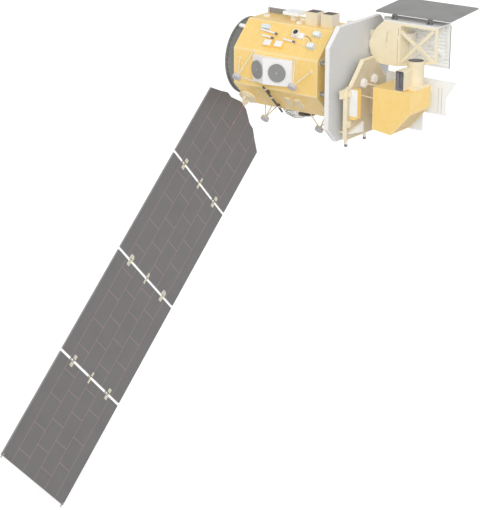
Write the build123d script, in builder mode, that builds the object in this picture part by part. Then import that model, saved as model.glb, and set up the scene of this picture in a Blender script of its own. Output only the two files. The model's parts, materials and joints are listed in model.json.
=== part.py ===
"""Earth observation satellite: bus, instrument deck, two instruments and a folding solar wing.

Millimetres.  +X runs along the bus towards the instrument deck, +Z is up, and the
origin is the centre of the separation plane, the rear face of the adapter ring.
"""

from math import cos, radians, sin, tan
import os

from build123d import *

os.makedirs("parts", exist_ok=True)

# ---------------------------------------------------------------- driving sizes
bus_apothem = 960.0             # flat-to-axis distance of the octagonal bus
bus_length = 2230.0
ring_radius = 849.0             # adapter ring behind the bus
ring_depth = 320.0
deck_gap = 345.0                # open space between the bus and the deck
deck_thickness = 96.0
deck_half_width = 1175.0
deck_top = 1172.0
deck_bottom = 1318.0
deck_top_corner = 388.0
deck_bottom_corner = 324.0
seat = 0.3                      # running clearance between curved faces

bus_back = ring_depth
bus_front = bus_back + bus_length
deck_back = bus_front + deck_gap
deck_front = deck_back + deck_thickness
facet_half = bus_apothem * tan(radians(22.5))

# tilt of each facet's normal above the -Y direction, in degrees
top_facet = 90.0
upper_facet = 45.0
side_facet = 0.0
lower_facet = -45.0
bottom_facet = -90.0


# ---------------------------------------------------------------- placing helpers
def tilted_plane(tilt, x, y, z):
    """Plane square to a direction tilted above -Y: local x along the bus, y up, z outward."""
    outward = Vector(0, -cos(radians(tilt)), sin(radians(tilt)))
    up = Vector(0, sin(radians(tilt)), cos(radians(tilt)))
    return Plane(origin=outward * z + up * y + Vector(x, 0, 0), x_dir=(1, 0, 0), z_dir=outward)


def facet_plane(tilt, x, y, lift=0.0):
    """Plane on a bus facet, lift above its skin."""
    return tilted_plane(tilt, x, y, bus_apothem + lift)


def rod_plane(start, end):
    """Plane at start that faces end."""
    return Plane(origin=start, z_dir=Vector(*end) - Vector(*start))



def write_piece(builder, name):
    """Label one finished piece and write its STEP file."""
    builder.part.label = name
    export_step(builder.part, "parts/" + name + ".step")


# ---------------------------------------------------------------- bus
with BuildPart() as bus_body:
    with BuildSketch(Plane.YZ.offset(bus_back)):
        RegularPolygon(bus_apothem, 8, major_radius=False, rotation=22.5)
    extrude(amount=bus_length)
write_piece(bus_body, "bus_body")

ring_wall = 45.0
ring_flange_depth = 40.0
ring_flange_step = 26.0
with BuildPart() as adapter_ring:
    with BuildSketch(Plane.YZ):
        Circle(ring_radius)
        Circle(ring_radius - ring_wall, mode=Mode.SUBTRACT)
    extrude(amount=ring_depth)
    with BuildSketch(Plane.YZ):
        Circle(ring_radius + ring_flange_step)
        Circle(ring_radius - ring_wall, mode=Mode.SUBTRACT)
    extrude(amount=ring_flange_depth)
write_piece(adapter_ring, "adapter_ring")

thruster_circle = 560.0
thruster_length = 190.0
thruster_throat = 22.0
thruster_mouth = 55.0
thruster_pair_gap = 150.0
thruster_angles = (45, 135, 225, 315)
with BuildPart() as thrusters:
    for angle in thruster_angles:
        for side in (-1, 1):
            across = side * thruster_pair_gap / 2
            y = thruster_circle * cos(radians(angle)) - across * sin(radians(angle))
            z = thruster_circle * sin(radians(angle)) + across * cos(radians(angle))
            with BuildSketch(Plane(origin=(bus_back, y, z), z_dir=(-1, 0, 0))):
                Circle(thruster_throat)
            with BuildSketch(Plane(origin=(bus_back - thruster_length, y, z), z_dir=(-1, 0, 0))):
                Circle(thruster_mouth)
            loft()
write_piece(thrusters, "thrusters")

# ---------------------------------------------------------------- instrument deck
with BuildPart() as deck_plate:
    with BuildSketch(Plane.YZ.offset(deck_back)):
        with BuildLine():
            Polyline(
                (-deck_half_width, -deck_bottom + deck_bottom_corner),
                (-deck_half_width, deck_top - deck_top_corner),
                (-deck_half_width + deck_top_corner, deck_top),
                (deck_half_width - deck_top_corner, deck_top),
                (deck_half_width, deck_top - deck_top_corner),
                (deck_half_width, -deck_bottom + deck_bottom_corner),
                (deck_half_width - deck_bottom_corner, -deck_bottom),
                (-deck_half_width + deck_bottom_corner, -deck_bottom),
                close=True,
            )
        make_face()
    extrude(amount=deck_thickness)
write_piece(deck_plate, "deck_plate")

post_radius = 32.0
post_circle = 890.0             # posts sit inside the corners of the octagon
post_foot = 110.0
post_foot_thickness = 18.0
with BuildPart() as deck_posts:
    for corner in range(8):
        angle = radians(22.5 + 45 * corner)
        spot = (post_circle * cos(angle), post_circle * sin(angle))
        with BuildSketch(Plane.YZ.offset(bus_front)):
            with Locations(spot):
                Circle(post_radius)
        extrude(amount=deck_gap)
        for foot_x in (bus_front, deck_back - post_foot_thickness):
            with BuildSketch(Plane.YZ.offset(foot_x)):
                with Locations(spot):
                    RectangleRounded(post_foot, post_foot, 12)
            extrude(amount=post_foot_thickness)
write_piece(deck_posts, "deck_posts")

# ---------------------------------------------------------------- top facet
tracker_width = 290.0
tracker_depth = 293.0
tracker_height = 285.0
tracker_wall = 12.0
tracker_floor = 40.0
tracker_y = -80.0
tracker_set_back = (1035.0, 634.0)      # of each box's middle, behind the deck
with BuildPart() as tracker_baffles:
    for set_back in tracker_set_back:
        with BuildSketch(Plane.XY.offset(bus_apothem)):
            with Locations((deck_back - set_back, tracker_y)):
                Rectangle(tracker_width, tracker_depth)
        extrude(amount=tracker_height)
        with BuildSketch(Plane.XY.offset(bus_apothem + tracker_floor)):
            with Locations((deck_back - set_back, tracker_y)):
                Rectangle(tracker_width - 2 * tracker_wall, tracker_depth - 2 * tracker_wall)
        extrude(amount=tracker_height, mode=Mode.SUBTRACT)
write_piece(tracker_baffles, "tracker_baffles")

slab_length = 555.0
slab_width = 60.0
slab_height = 110.0
slab_y = 335.0
with BuildPart() as receiver_slab:
    with BuildSketch(Plane.XY.offset(bus_apothem)):
        with Locations((bus_back + slab_length / 2, slab_y)):
            Rectangle(slab_length, slab_width)
    extrude(amount=slab_height)
write_piece(receiver_slab, "receiver_slab")

whip_radius = 9.0
whip_height = 210.0
whip_set_in = 40.0
with BuildPart() as whip_post:
    with BuildSketch(Plane.XY.offset(bus_apothem)):
        with Locations((bus_back + whip_set_in, slab_y - slab_width / 2 - 2 * whip_radius)):
            Circle(whip_radius)
    extrude(amount=whip_height)
write_piece(whip_post, "whip_post")

patch_set_back = 1640.0
patch_y = 0.0
patch_leg_size = 105.0
patch_leg_height = 130.0
patch_length = 400.0
patch_width = 340.0
patch_thickness = 70.0
with BuildPart() as patch_leg:
    with BuildSketch(Plane.XY.offset(bus_apothem)):
        with Locations((deck_back - patch_set_back, patch_y)):
            Rectangle(patch_leg_size, patch_leg_size)
    extrude(amount=patch_leg_height)
write_piece(patch_leg, "patch_leg")
with BuildPart() as patch_antenna:
    with BuildSketch(Plane.XY.offset(bus_apothem + patch_leg_height)):
        with Locations((deck_back - patch_set_back, patch_y)):
            RectangleRounded(patch_length, patch_width, 20)
    extrude(amount=patch_thickness)
write_piece(patch_antenna, "patch_antenna")

# small white brackets on the top facet: (set back from the deck, y, length, width, height)
top_brackets_table = (
    (2360.0, -35.0, 110.0, 90.0, 40.0),
    (1330.0, -250.0, 90.0, 70.0, 45.0),
    (1400.0, 40.0, 190.0, 60.0, 60.0),
    (330.0, 330.0, 220.0, 120.0, 90.0),
)
with BuildPart() as top_brackets:
    for set_back, y, length, width, height in top_brackets_table:
        with BuildSketch(Plane.XY.offset(bus_apothem)):
            with Locations((deck_back - set_back, y)):
                Rectangle(length, width)
        extrude(amount=height)
write_piece(top_brackets, "top_brackets")

# ---------------------------------------------------------------- upper facet
# white boxes: (set back, y up the facet, length, width, height)
upper_boxes_table = (
    (2000.0, 215.0, 213.0, 100.0, 75.0),
    (625.0, 210.0, 170.0, 110.0, 120.0),
    (635.0, -95.0, 170.0, 110.0, 120.0),
)
with BuildPart() as upper_boxes:
    for set_back, y, length, width, height in upper_boxes_table:
        with BuildSketch(facet_plane(upper_facet, deck_back - set_back, y)):
            Rectangle(length, width)
        extrude(amount=height)
write_piece(upper_boxes, "upper_boxes")

# gold boxes: (set back, y up the facet)
gold_box_length = 195.0
gold_box_width = 150.0
gold_box_height = 85.0
gold_box_places = ((1735.0, -185.0), (1447.0, -175.0))
with BuildPart() as gold_boxes:
    for set_back, y in gold_box_places:
        with BuildSketch(facet_plane(upper_facet, deck_back - set_back, y)):
            Rectangle(gold_box_length, gold_box_width)
        extrude(amount=gold_box_height)
write_piece(gold_boxes, "gold_boxes")

# thin antenna rods on two clips each: (set back and y of each end)
feed_radius = 11.0
feed_lift = 45.0
feed_clip_size = 34.0
feed_rods_table = (
    (2098.0, 137.0, 1635.0, 79.0),
    (1995.0, -6.0, 1683.0, -35.0),
    (1424.0, -18.0, 1106.0, -44.0),
)
with BuildPart() as feed_rods:
    for back_from, y_from, back_to, y_to in feed_rods_table:
        start = facet_plane(upper_facet, deck_back - back_from, y_from, feed_lift).origin
        end = facet_plane(upper_facet, deck_back - back_to, y_to, feed_lift).origin
        with BuildSketch(rod_plane(start, end)):
            Circle(feed_radius)
        extrude(amount=(end - start).length)
        for share in (0.15, 0.85):
            back = back_from + share * (back_to - back_from)
            y = y_from + share * (y_to - y_from)
            with BuildSketch(facet_plane(upper_facet, deck_back - back, y)):
                Rectangle(feed_clip_size, feed_clip_size)
            extrude(amount=feed_lift)
write_piece(feed_rods, "feed_rods")

camera_set_back = 1100.0
camera_y = 130.0
camera_base_length = 300.0
camera_base_width = 130.0
camera_base_height = 60.0
camera_barrel_radius = 75.0
camera_barrel_length = 120.0
camera_bore_radius = 60.0
camera_bore_depth = 90.0
with BuildPart() as star_camera:
    with BuildSketch(facet_plane(upper_facet, deck_back - camera_set_back, camera_y)):
        RectangleRounded(camera_base_length, camera_base_width, 15)
    extrude(amount=camera_base_height)
    with BuildSketch(facet_plane(upper_facet, deck_back - camera_set_back, camera_y)):
        Circle(camera_barrel_radius)
    extrude(amount=camera_base_height + camera_barrel_length)
    barrel_top = camera_base_height + camera_barrel_length
    with BuildSketch(facet_plane(upper_facet, deck_back - camera_set_back, camera_y, barrel_top)):
        Circle(camera_bore_radius)
    extrude(amount=-camera_bore_depth, mode=Mode.SUBTRACT)
write_piece(star_camera, "star_camera")

rim_antenna_y = 150.0
rim_antenna_length = 130.0
rim_antenna_width = 70.0
rim_antenna_height = 60.0
rim_antenna_over = 95.0
with BuildPart() as rim_antenna:
    with BuildSketch(facet_plane(upper_facet, bus_back - rim_antenna_over / 2, rim_antenna_y)):
        Rectangle(rim_antenna_length, rim_antenna_width)
    extrude(amount=rim_antenna_height)
write_piece(rim_antenna, "rim_antenna")

# ---------------------------------------------------------------- side facet
housing_back = 2027.0           # set back of its rear edge
housing_ridge = 1640.0
housing_front = 985.0
housing_edge = 45.0             # standing height at both ends
housing_rise = 195.0            # height of the ridge
housing_low = -255.0
housing_high = 330.0
with BuildPart() as side_housing:
    with BuildSketch(Plane.XY.offset(housing_low)):
        with BuildLine():
            Polyline(
                (deck_back - housing_back, -bus_apothem),
                (deck_back - housing_back, -bus_apothem - housing_edge),
                (deck_back - housing_ridge, -bus_apothem - housing_rise),
                (deck_back - housing_front, -bus_apothem - housing_edge),
                (deck_back - housing_front, -bus_apothem),
                close=True,
            )
        make_face()
    extrude(amount=housing_high - housing_low)
write_piece(side_housing, "side_housing")

disc_radius = 198.0
disc_thickness = 36.0
disc_height = 30.0              # of both discs' middles above the bus axis
# discs on the two slopes: (set back at the slope's start, at its end)
disc_slopes = ((housing_back, housing_ridge, -1), (housing_front, housing_ridge, 1))
with BuildPart() as side_discs:
    for foot, ridge, side in disc_slopes:
        run = abs(foot - ridge)
        rise = housing_rise - housing_edge
        slope = Vector(side * rise, -run, 0).normalized()
        middle = Vector(
            deck_back - (foot + ridge) / 2,
            -bus_apothem - (housing_edge + housing_rise) / 2,
            disc_height,
        )
        with BuildSketch(Plane(origin=middle, z_dir=slope)):
            Circle(disc_radius)
        extrude(amount=disc_thickness)
write_piece(side_discs, "side_discs")

# ---------------------------------------------------------------- solar wing layout
wing_tilt = -41.85              # the wing axis, tilted below the -Y direction
drive_set_back = 2446.0
drive_y = -99.0                 # up the lower facet
pad_reach = 132.0               # outer faces of the stow pads, along the wing axis
fold_clearance = 12.0           # between the pads and the folded wing
panel_thickness = 40.0
panel_width = 2498.0
inner_panel_length = 1671.0
outer_panel_length = 2420.0
panel_gap = 64.0
panel_start = 695.0             # reach of the inner panel's square end
hinge_lift = 12.0               # hinge axis above the panel's face

drive_foot = facet_plane(lower_facet, deck_back - drive_set_back, drive_y).origin
wing_out = Vector(0, -cos(radians(wing_tilt)), sin(radians(wing_tilt)))
fold_reach = pad_reach + fold_clearance + panel_thickness / 2


def wing_plane(reach, x=0.0, y=0.0):
    """Plane square to the wing axis: local x along the bus, y across the wing, z outward."""
    base = Plane(origin=drive_foot, x_dir=(1, 0, 0), z_dir=wing_out)
    return Plane(origin=base.from_local_coords((x, y, reach)), x_dir=base.x_dir, z_dir=wing_out)


def wing_face(x):
    """Plane of the wing's faces at x: local x outward along the wing, y across it."""
    base = wing_plane(0.0, x)
    return Plane(origin=base.origin, x_dir=wing_out, z_dir=(-1, 0, 0))


# ---------------------------------------------------------------- stow tripods
pad_radius = 97.0
pad_thickness = 70.0
tripod_tube_radius = 14.0
tripod_sink = 8.0               # of each tube into the pad that it carries
# (pad's x and y across the wing from its axis, then three feet as set back, y, z)
side_y = -bus_apothem
under_z = -bus_apothem
tripod_table = (
    (176.0, 874.0, (2022.0, side_y, 398.0), (2410.0, side_y, 177.0), (2022.0, side_y, -290.0)),
    (1663.0, 874.0, (931.0, side_y, 370.0), (510.0, side_y, 148.0), (931.0, side_y, -211.0)),
    (176.0, -703.0, (2410.0, 0.0, under_z), (2190.0, 60.0, under_z), (1880.0, -250.0, under_z)),
    (1663.0, -703.0, (510.0, 0.0, under_z), (730.0, 60.0, under_z), (1040.0, -250.0, under_z)),
)
with BuildPart() as stow_pads:
    for x, y, *feet in tripod_table:
        with BuildSketch(wing_plane(pad_reach - pad_thickness, x, y)):
            Circle(pad_radius)
        extrude(amount=pad_thickness)
write_piece(stow_pads, "stow_pads")

with BuildPart() as stow_tripods:
    for x, y, *feet in tripod_table:
        for set_back, foot_y, foot_z in feet:
            start = Vector(deck_back - set_back, foot_y, foot_z)
            end = wing_plane(pad_reach - pad_thickness + tripod_sink, x, y).origin
            with BuildSketch(rod_plane(start, end)):
                Circle(tripod_tube_radius)
            extrude(amount=(end - start).length)
    add(bus_body.part, mode=Mode.SUBTRACT)
    add(stow_pads.part, mode=Mode.SUBTRACT)
write_piece(stow_tripods, "stow_tripods")

# ---------------------------------------------------------------- wing drive
drive_ring_radius = 200.0
drive_ring_reach = 58.0
rotor_radius = 150.0
rotor_thickness = 26.0
rotor_boss_radius = 62.0
rotor_reach = drive_ring_reach + seat
lug_half = 30.0
lug_thickness = 26.0
lug_spacing = 130.0             # between the inner faces of the rotor's two lugs
root_pin_radius = 14.0
yoke_eye_length = 120.0
yoke_eye_radius = 26.0
yoke_width = 90.0

with BuildPart() as drive_base:
    with BuildSketch(wing_plane(-60)):
        Circle(drive_ring_radius)
    extrude(amount=60 + drive_ring_reach)
    add(bus_body.part, mode=Mode.SUBTRACT)
write_piece(drive_base, "drive_base")

with BuildPart() as drive_rotor:
    with BuildSketch(wing_plane(rotor_reach)):
        Circle(rotor_radius)
    extrude(amount=rotor_thickness)
    for side in (-1, 1):
        lug_y = side * (lug_spacing + lug_thickness) / 2
        base = wing_plane(0, 0, lug_y)
        with BuildSketch(Plane(origin=base.origin, x_dir=wing_out, z_dir=base.y_dir)):
            with Locations((fold_reach, 0)):
                Circle(lug_half)
            with Locations(((rotor_reach + fold_reach) / 2, 0)):
                Rectangle(fold_reach - rotor_reach, 2 * lug_half)
        extrude(amount=lug_thickness / 2, both=True)
    base = wing_plane(fold_reach)
    with BuildSketch(Plane(origin=base.origin, x_dir=wing_out, z_dir=base.y_dir)):
        Circle(root_pin_radius)
    extrude(amount=lug_spacing / 2 + lug_thickness, both=True)
write_piece(drive_rotor, "drive_rotor")

# ---------------------------------------------------------------- solar panels
# root side of the inner panel: (share of the width from the middle, reach beyond the square end)
nose_table = ((0.50, 0.0), (0.37, 152.0), (0.28, 276.0), (0.20, 288.0), (0.06, 426.0))
nose_tip = panel_start - nose_table[-1][1]
nose_sink = 30.0                # of the yoke arm into a slot of the nose

with BuildPart() as panel_1:
    with BuildSketch(wing_face(0.0)):
        with BuildLine():
            outline = [(panel_start + inner_panel_length, panel_width / 2)]
            outline += [(panel_start - reach, share * panel_width) for share, reach in nose_table]
            outline += [(reach, -y) for reach, y in reversed(outline)]
            Polyline(*outline, close=True)
        make_face()
    extrude(amount=panel_thickness / 2, both=True)
write_piece(panel_1, "panel_1")

panel_names = ("panel_1", "panel_2", "panel_3", "panel_4")
panel_ends = [panel_start + inner_panel_length]
for name in panel_names[1:]:
    inner_end = panel_ends[-1] + panel_gap
    panel_ends.append(inner_end + outer_panel_length)
    with BuildPart() as outer_panel:
        with BuildSketch(wing_face(0.0)):
            with Locations((inner_end + outer_panel_length / 2, 0)):
                Rectangle(outer_panel_length, panel_width)
        extrude(amount=panel_thickness / 2, both=True)
    write_piece(outer_panel, name)

# arm from the root pin to the nose of the inner panel
with BuildPart() as wing_yoke:
    base = wing_plane(0)
    with BuildSketch(Plane(origin=wing_plane(fold_reach).origin, x_dir=wing_out, z_dir=base.y_dir)):
        Circle(yoke_eye_radius)
        with Locations(((nose_tip - fold_reach) / 2, 0)):
            Rectangle(nose_tip - fold_reach, panel_thickness)
        Circle(root_pin_radius + seat, mode=Mode.SUBTRACT)
    extrude(amount=yoke_eye_length / 2, both=True)
write_piece(wing_yoke, "wing_yoke")

# panel hinges: (y across the wing, length of the whole hinge)
hinge_table = ((-760.0, 150.0), (0.0, 80.0), (760.0, 150.0))
hinge_knuckle = 10.0            # radius
hinge_pin = 5.0
hinge_leaf = 9.0                # thickness of a leaf on the panel's face
hinge_leaf_length = 70.0        # on the face, past the panel's end
hinge_play = 1.0                # between neighbouring knuckles


fold_lines = len(panel_names) - 1
for line in range(fold_lines):
    # the fold axes lie on alternate faces of the wing, so that it folds as a zigzag
    face_side = -1 if line % 2 == 0 else 1
    face = face_side * panel_thickness / 2
    axis_x = face_side * (panel_thickness / 2 + hinge_lift)
    axis_reach = panel_ends[line] + panel_gap / 2
    inner_spans = []
    outer_spans = []
    for y, length in hinge_table:
        third = length / 3
        inner_spans += [(y - third, third - hinge_play), (y + third, third - hinge_play)]
        outer_spans.append((y, third - hinge_play))
    # leafs of the inner and the outer panel: (name, reach of the panel's end, way back onto it)
    leaf_table = (
        ("inner", panel_ends[line], -1, inner_spans),
        ("outer", panel_ends[line] + panel_gap, 1, outer_spans),
    )
    for part_name, end_reach, back, spans in leaf_table:
        with BuildPart() as hinges:
            for y, length in spans:
                side_view = Plane(
                    origin=wing_plane(axis_reach, 0, y).origin,
                    x_dir=wing_out,
                    z_dir=wing_plane(0).y_dir,
                )
                leaf_end = end_reach + back * hinge_leaf_length - axis_reach
                with BuildSketch(side_view):
                    with BuildLine():
                        Polyline(
                            (0, face),
                            (0, face + face_side * hinge_leaf),
                            (leaf_end, face + face_side * hinge_leaf),
                            (leaf_end, face),
                            close=True,
                        )
                    make_face()
                    with Locations((0, axis_x)):
                        Circle(hinge_knuckle)
                        if part_name == "outer":
                            Circle(hinge_pin + seat, mode=Mode.SUBTRACT)
                extrude(amount=length / 2, both=True)
            if part_name == "inner":
                for y, length in hinge_table:
                    pin_middle = wing_plane(axis_reach, axis_x, y).origin
                    with BuildSketch(Plane(origin=pin_middle, x_dir=wing_out, z_dir=side_view.z_dir)):
                        Circle(hinge_pin)
                    extrude(amount=length / 2, both=True)
        write_piece(hinges, "fold_%d_%s_hinges" % (line + 1, part_name))

# ---------------------------------------------------------------- lower and bottom facets
relay_length = 125.0
relay_height = 60.0
# tan boxes on the lower facet: (set back, y up the facet, width)
relay_table = ((1225.0, 60.0, 250.0), (965.0, 35.0, 290.0))
with BuildPart() as relay_boxes:
    for set_back, y, width in relay_table:
        with BuildSketch(facet_plane(lower_facet, deck_back - set_back, y)):
            Rectangle(relay_length, width)
        extrude(amount=relay_height)
write_piece(relay_boxes, "relay_boxes")

mast_radius = 22.0
mast_lift = 48.0                # of its axis above the facet
mast_set_back = 1675.0
mast_top = 545.0
mast_foot = -480.0
mast_clip_size = 60.0
mast_clip_places = (300.0, -250.0)
with BuildPart() as mast:
    start = facet_plane(lower_facet, deck_back - mast_set_back, mast_top, mast_lift).origin
    end = facet_plane(lower_facet, deck_back - mast_set_back, mast_foot, mast_lift).origin
    with BuildSketch(rod_plane(start, end)):
        Circle(mast_radius)
    extrude(amount=(end - start).length)
    for y in mast_clip_places:
        with BuildSketch(facet_plane(lower_facet, deck_back - mast_set_back, y)):
            Rectangle(mast_clip_size, mast_clip_size)
        extrude(amount=mast_lift)
write_piece(mast, "mast")

# wire basket under the bottom facet: flat hoops joined by straight ribs
basket_set_back = 1795.0
basket_y = 421.0
basket_radius = 400.0
basket_wire = 9.0
basket_ribs = 12
basket_hoop_angles = (0.0, 24.0, 46.0, 68.0)
basket_centre = Vector(deck_back - basket_set_back, basket_y, -bus_apothem - basket_wire)
with BuildPart() as basket:
    for angle in basket_hoop_angles:
        hoop = basket_radius * cos(radians(angle))
        level = basket_centre.Z - basket_radius * sin(radians(angle))
        with BuildSketch(Plane.XY.offset(level)):
            with Locations((basket_centre.X, basket_centre.Y)):
                Circle(hoop + basket_wire)
                Circle(hoop - basket_wire, mode=Mode.SUBTRACT)
        extrude(amount=basket_wire, both=True)
    for rib in range(basket_ribs):
        spin = radians(360.0 * (rib + 0.5) / basket_ribs)
        joints = []
        for angle in basket_hoop_angles:
            out = basket_radius * cos(radians(angle))
            drop = basket_radius * sin(radians(angle))
            joints.append(basket_centre + Vector(out * cos(spin), out * sin(spin), -drop))
        for start, end in zip(joints, joints[1:]):
            with BuildSketch(rod_plane(start, end)):
                Circle(0.7 * basket_wire)
            extrude(amount=(end - start).length)
write_piece(basket, "basket")

dish_set_back = 1180.0
dish_y = -120.0
dish_radius = 195.0
dish_thickness = 30.0
dish_stem = 90.0
dish_stem_radius = 70.0
with BuildPart() as lower_dish:
    with BuildSketch(Plane.XY.offset(-bus_apothem)):
        with Locations((deck_back - dish_set_back, dish_y)):
            Circle(dish_stem_radius)
    extrude(amount=-dish_stem)
    with BuildSketch(Plane.XY.offset(-bus_apothem - dish_stem)):
        with Locations((deck_back - dish_set_back, dish_y)):
            Circle(dish_radius)
    extrude(amount=-dish_thickness)
write_piece(lower_dish, "lower_dish")

# ---------------------------------------------------------------- equipment panel on the deck
equipment_stand = 154.0         # clear space between the deck and the panel
equipment_thickness = 90.0
equipment_back = deck_front + equipment_stand
equipment_front = equipment_back + equipment_thickness
# right half of its outline: (y, z), from the top middle down
equipment_outline = ((205.0, 385.0), (650.0, -100.0), (840.0, -140.0), (840.0, -1255.0))
ear_thickness = 60.0
ear_width = 150.0
ear_height = 180.0
ear_z = -230.0
with BuildPart() as equipment_panel:
    with BuildSketch(Plane.YZ.offset(equipment_back)):
        with BuildLine():
            Polyline(
                *equipment_outline,
                *[(-y, z) for y, z in reversed(equipment_outline)],
                close=True,
            )
        make_face()
    extrude(amount=equipment_thickness)
    with BuildSketch(Plane.YZ.offset(equipment_back)):
        with Locations((-equipment_outline[-1][0] - ear_width / 2, ear_z)):
            Rectangle(ear_width, ear_height)
    extrude(amount=ear_thickness)
write_piece(equipment_panel, "equipment_panel")

stand_radius = 28.0
stand_places = ((-700.0, -250.0), (700.0, -250.0), (-700.0, -1130.0), (700.0, -1130.0), (0.0, 250.0))
with BuildPart() as equipment_stands:
    for spot in stand_places:
        with BuildSketch(Plane.YZ.offset(deck_front)):
            with Locations(spot):
                Circle(stand_radius)
        extrude(amount=equipment_stand)
write_piece(equipment_stands, "equipment_stands")

locker_middle = (-600.0, -490.0)
locker_width = 230.0
locker_height = 640.0
locker_depth = 130.0
with BuildPart() as locker:
    with BuildSketch(Plane.YZ.offset(equipment_front)):
        with Locations(locker_middle):
            Rectangle(locker_width, locker_height)
    extrude(amount=locker_depth)
write_piece(locker, "locker")

hex_radius = 105.0
hex_depth = 60.0
hex_places = ((-230.0, -110.0), (180.0, -95.0))
with BuildPart() as hex_units:
    for spot in hex_places:
        with BuildSketch(Plane.YZ.offset(equipment_front)):
            with Locations(spot):
                RegularPolygon(hex_radius, 6, rotation=30)
        extrude(amount=hex_depth)
write_piece(hex_units, "hex_units")

brace_thickness = 60.0
brace_outline = ((-800.0, -1110.0), (-250.0, -950.0), (-250.0, -1180.0))
with BuildPart() as white_brace:
    with BuildSketch(Plane.YZ.offset(equipment_front)):
        with BuildLine():
            Polyline(*brace_outline, close=True)
        make_face()
    extrude(amount=brace_thickness)
write_piece(white_brace, "white_brace")

foot_radius = 36.0
foot_length = 150.0
foot_places = (-770.0, -40.0)
with BuildPart() as deck_feet:
    for y in foot_places:
        with BuildSketch(Plane.XY.offset(equipment_outline[-1][1])):
            with Locations((equipment_back + equipment_thickness / 2, y)):
                Circle(foot_radius)
        extrude(amount=-foot_length)
write_piece(deck_feet, "deck_feet")

# ---------------------------------------------------------------- imager
imager_left = -386.0            # its face towards -Y
imager_width = 780.0
imager_back = deck_back + 707.0
imager_length = 945.0
imager_top = -110.0
imager_shoulder = 435.0         # height of the front face
imager_cut = 485.0              # length of the slanted underside along the bus
imager_height = 985.0
imager_back_height = 930.0
imager_front = imager_back + imager_length
with BuildPart() as imager_body:
    with BuildSketch(Plane.XZ.offset(-imager_left)):
        with BuildLine():
            Polyline(
                (imager_back, imager_top),
                (imager_front, imager_top),
                (imager_front, imager_top - imager_shoulder),
                (imager_front - imager_cut, imager_top - imager_height),
                (imager_back, imager_top - imager_back_height),
                close=True,
            )
        make_face()
    extrude(amount=-imager_width)
write_piece(imager_body, "imager_body")

pedestal_width = 320.0
pedestal_height = 600.0
pedestal_drop = 150.0           # below the imager's top
with BuildPart() as imager_pedestal:
    with BuildSketch(Plane.YZ.offset(equipment_front)):
        with Locations((220.0, imager_top - pedestal_drop - pedestal_height / 2)):
            Rectangle(pedestal_width, pedestal_height)
    extrude(amount=imager_back - equipment_front)
write_piece(imager_pedestal, "imager_pedestal")

tower_x = imager_front - 240.0
tower_y = 150.0
tower_radius = 182.0
tower_wall = 12.0
tower_height = 516.0
plinth_length = 420.0
plinth_width = 560.0
plinth_thickness = 60.0
tower_foot = imager_top + plinth_thickness
with BuildPart() as tower_plinth:
    with BuildSketch(Plane.XY.offset(imager_top)):
        with Locations((tower_x, tower_y - 30)):
            RectangleRounded(plinth_length, plinth_width, 25)
    extrude(amount=plinth_thickness)
write_piece(tower_plinth, "tower_plinth")
with BuildPart() as tower:
    with BuildSketch(Plane.XY.offset(tower_foot)):
        with Locations((tower_x, tower_y)):
            Circle(tower_radius)
    extrude(amount=tower_height)
    with BuildSketch(Plane.XY.offset(tower_foot + tower_wall)):
        with Locations((tower_x, tower_y)):
            Circle(tower_radius - tower_wall)
    extrude(amount=tower_height, mode=Mode.SUBTRACT)
write_piece(tower, "tower")

# ---------------------------------------------------------------- telescope
scope_left = 340.0              # its face towards -Y
scope_depth = 540.0
scope_top = 1160.0
scope_bottom = 214.0
scope_tip = deck_front + 9.0
scope_seam = deck_back + 836.0
scope_front = deck_back + 1795.0
scope_front_bottom = 411.0
# rounded rear end, from the top round to the bottom: (x ahead of the tip, z)
scope_nose = (
    (362.0, scope_top),
    (166.0, 976.0),
    (9.0, 691.0),
    (0.0, 580.0),
    (84.0, 360.0),
    (285.0, scope_bottom),
)
with BuildPart() as scope_housing:
    with BuildSketch(Plane.XZ.offset(-scope_left)):
        with BuildLine():
            Polyline(
                *[(scope_tip + x, z) for x, z in scope_nose],
                (scope_seam, scope_bottom),
                (scope_seam, scope_top),
                close=True,
            )
        make_face()
    extrude(amount=-scope_depth)
write_piece(scope_housing, "scope_housing")

# saddles that carry the telescope's round end on the deck: (y ahead of its left face)
saddle_places = (70.0, 350.0)
saddle_width = 120.0
saddle_low = 380.0
saddle_high = 900.0
with BuildPart() as scope_saddles:
    for y in saddle_places:
        with BuildSketch(Plane.YZ.offset(deck_front)):
            with Locations((scope_left + y + saddle_width / 2, (saddle_low + saddle_high) / 2)):
                Rectangle(saddle_width, saddle_high - saddle_low)
        extrude(amount=scope_tip + scope_nose[1][0] - deck_front)
    add(scope_housing.part, mode=Mode.SUBTRACT)
write_piece(scope_saddles, "scope_saddles")

rail_width = 55.0
rail_depth = 45.0
with BuildPart() as scope_frame:
    outline = (
        (scope_seam, scope_bottom),
        (scope_front, scope_front_bottom),
        (scope_front, scope_top),
        (scope_seam, scope_top),
    )
    for y in (scope_left, scope_left + scope_depth - rail_depth):
        with BuildSketch(Plane.XZ.offset(-y)):
            with BuildLine():
                Polyline(*outline, close=True)
            make_face()
            with BuildSketch(Plane.XZ.offset(-y), mode=Mode.PRIVATE) as inner:
                with BuildLine():
                    Polyline(*outline, close=True)
                make_face()
                offset(amount=-rail_width, kind=Kind.INTERSECTION)
            add(inner.sketch, mode=Mode.SUBTRACT)
        extrude(amount=-rail_depth)
write_piece(scope_frame, "scope_frame")

roof_thickness = 25.0
with BuildPart() as scope_roof:
    with BuildSketch(Plane.XY.offset(scope_top)):
        with Locations(((scope_tip + scope_nose[0][0] + scope_front) / 2, scope_left + scope_depth / 2)):
            Rectangle(scope_front - scope_tip - scope_nose[0][0], scope_depth)
    extrude(amount=roof_thickness)
write_piece(scope_roof, "scope_roof")

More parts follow.
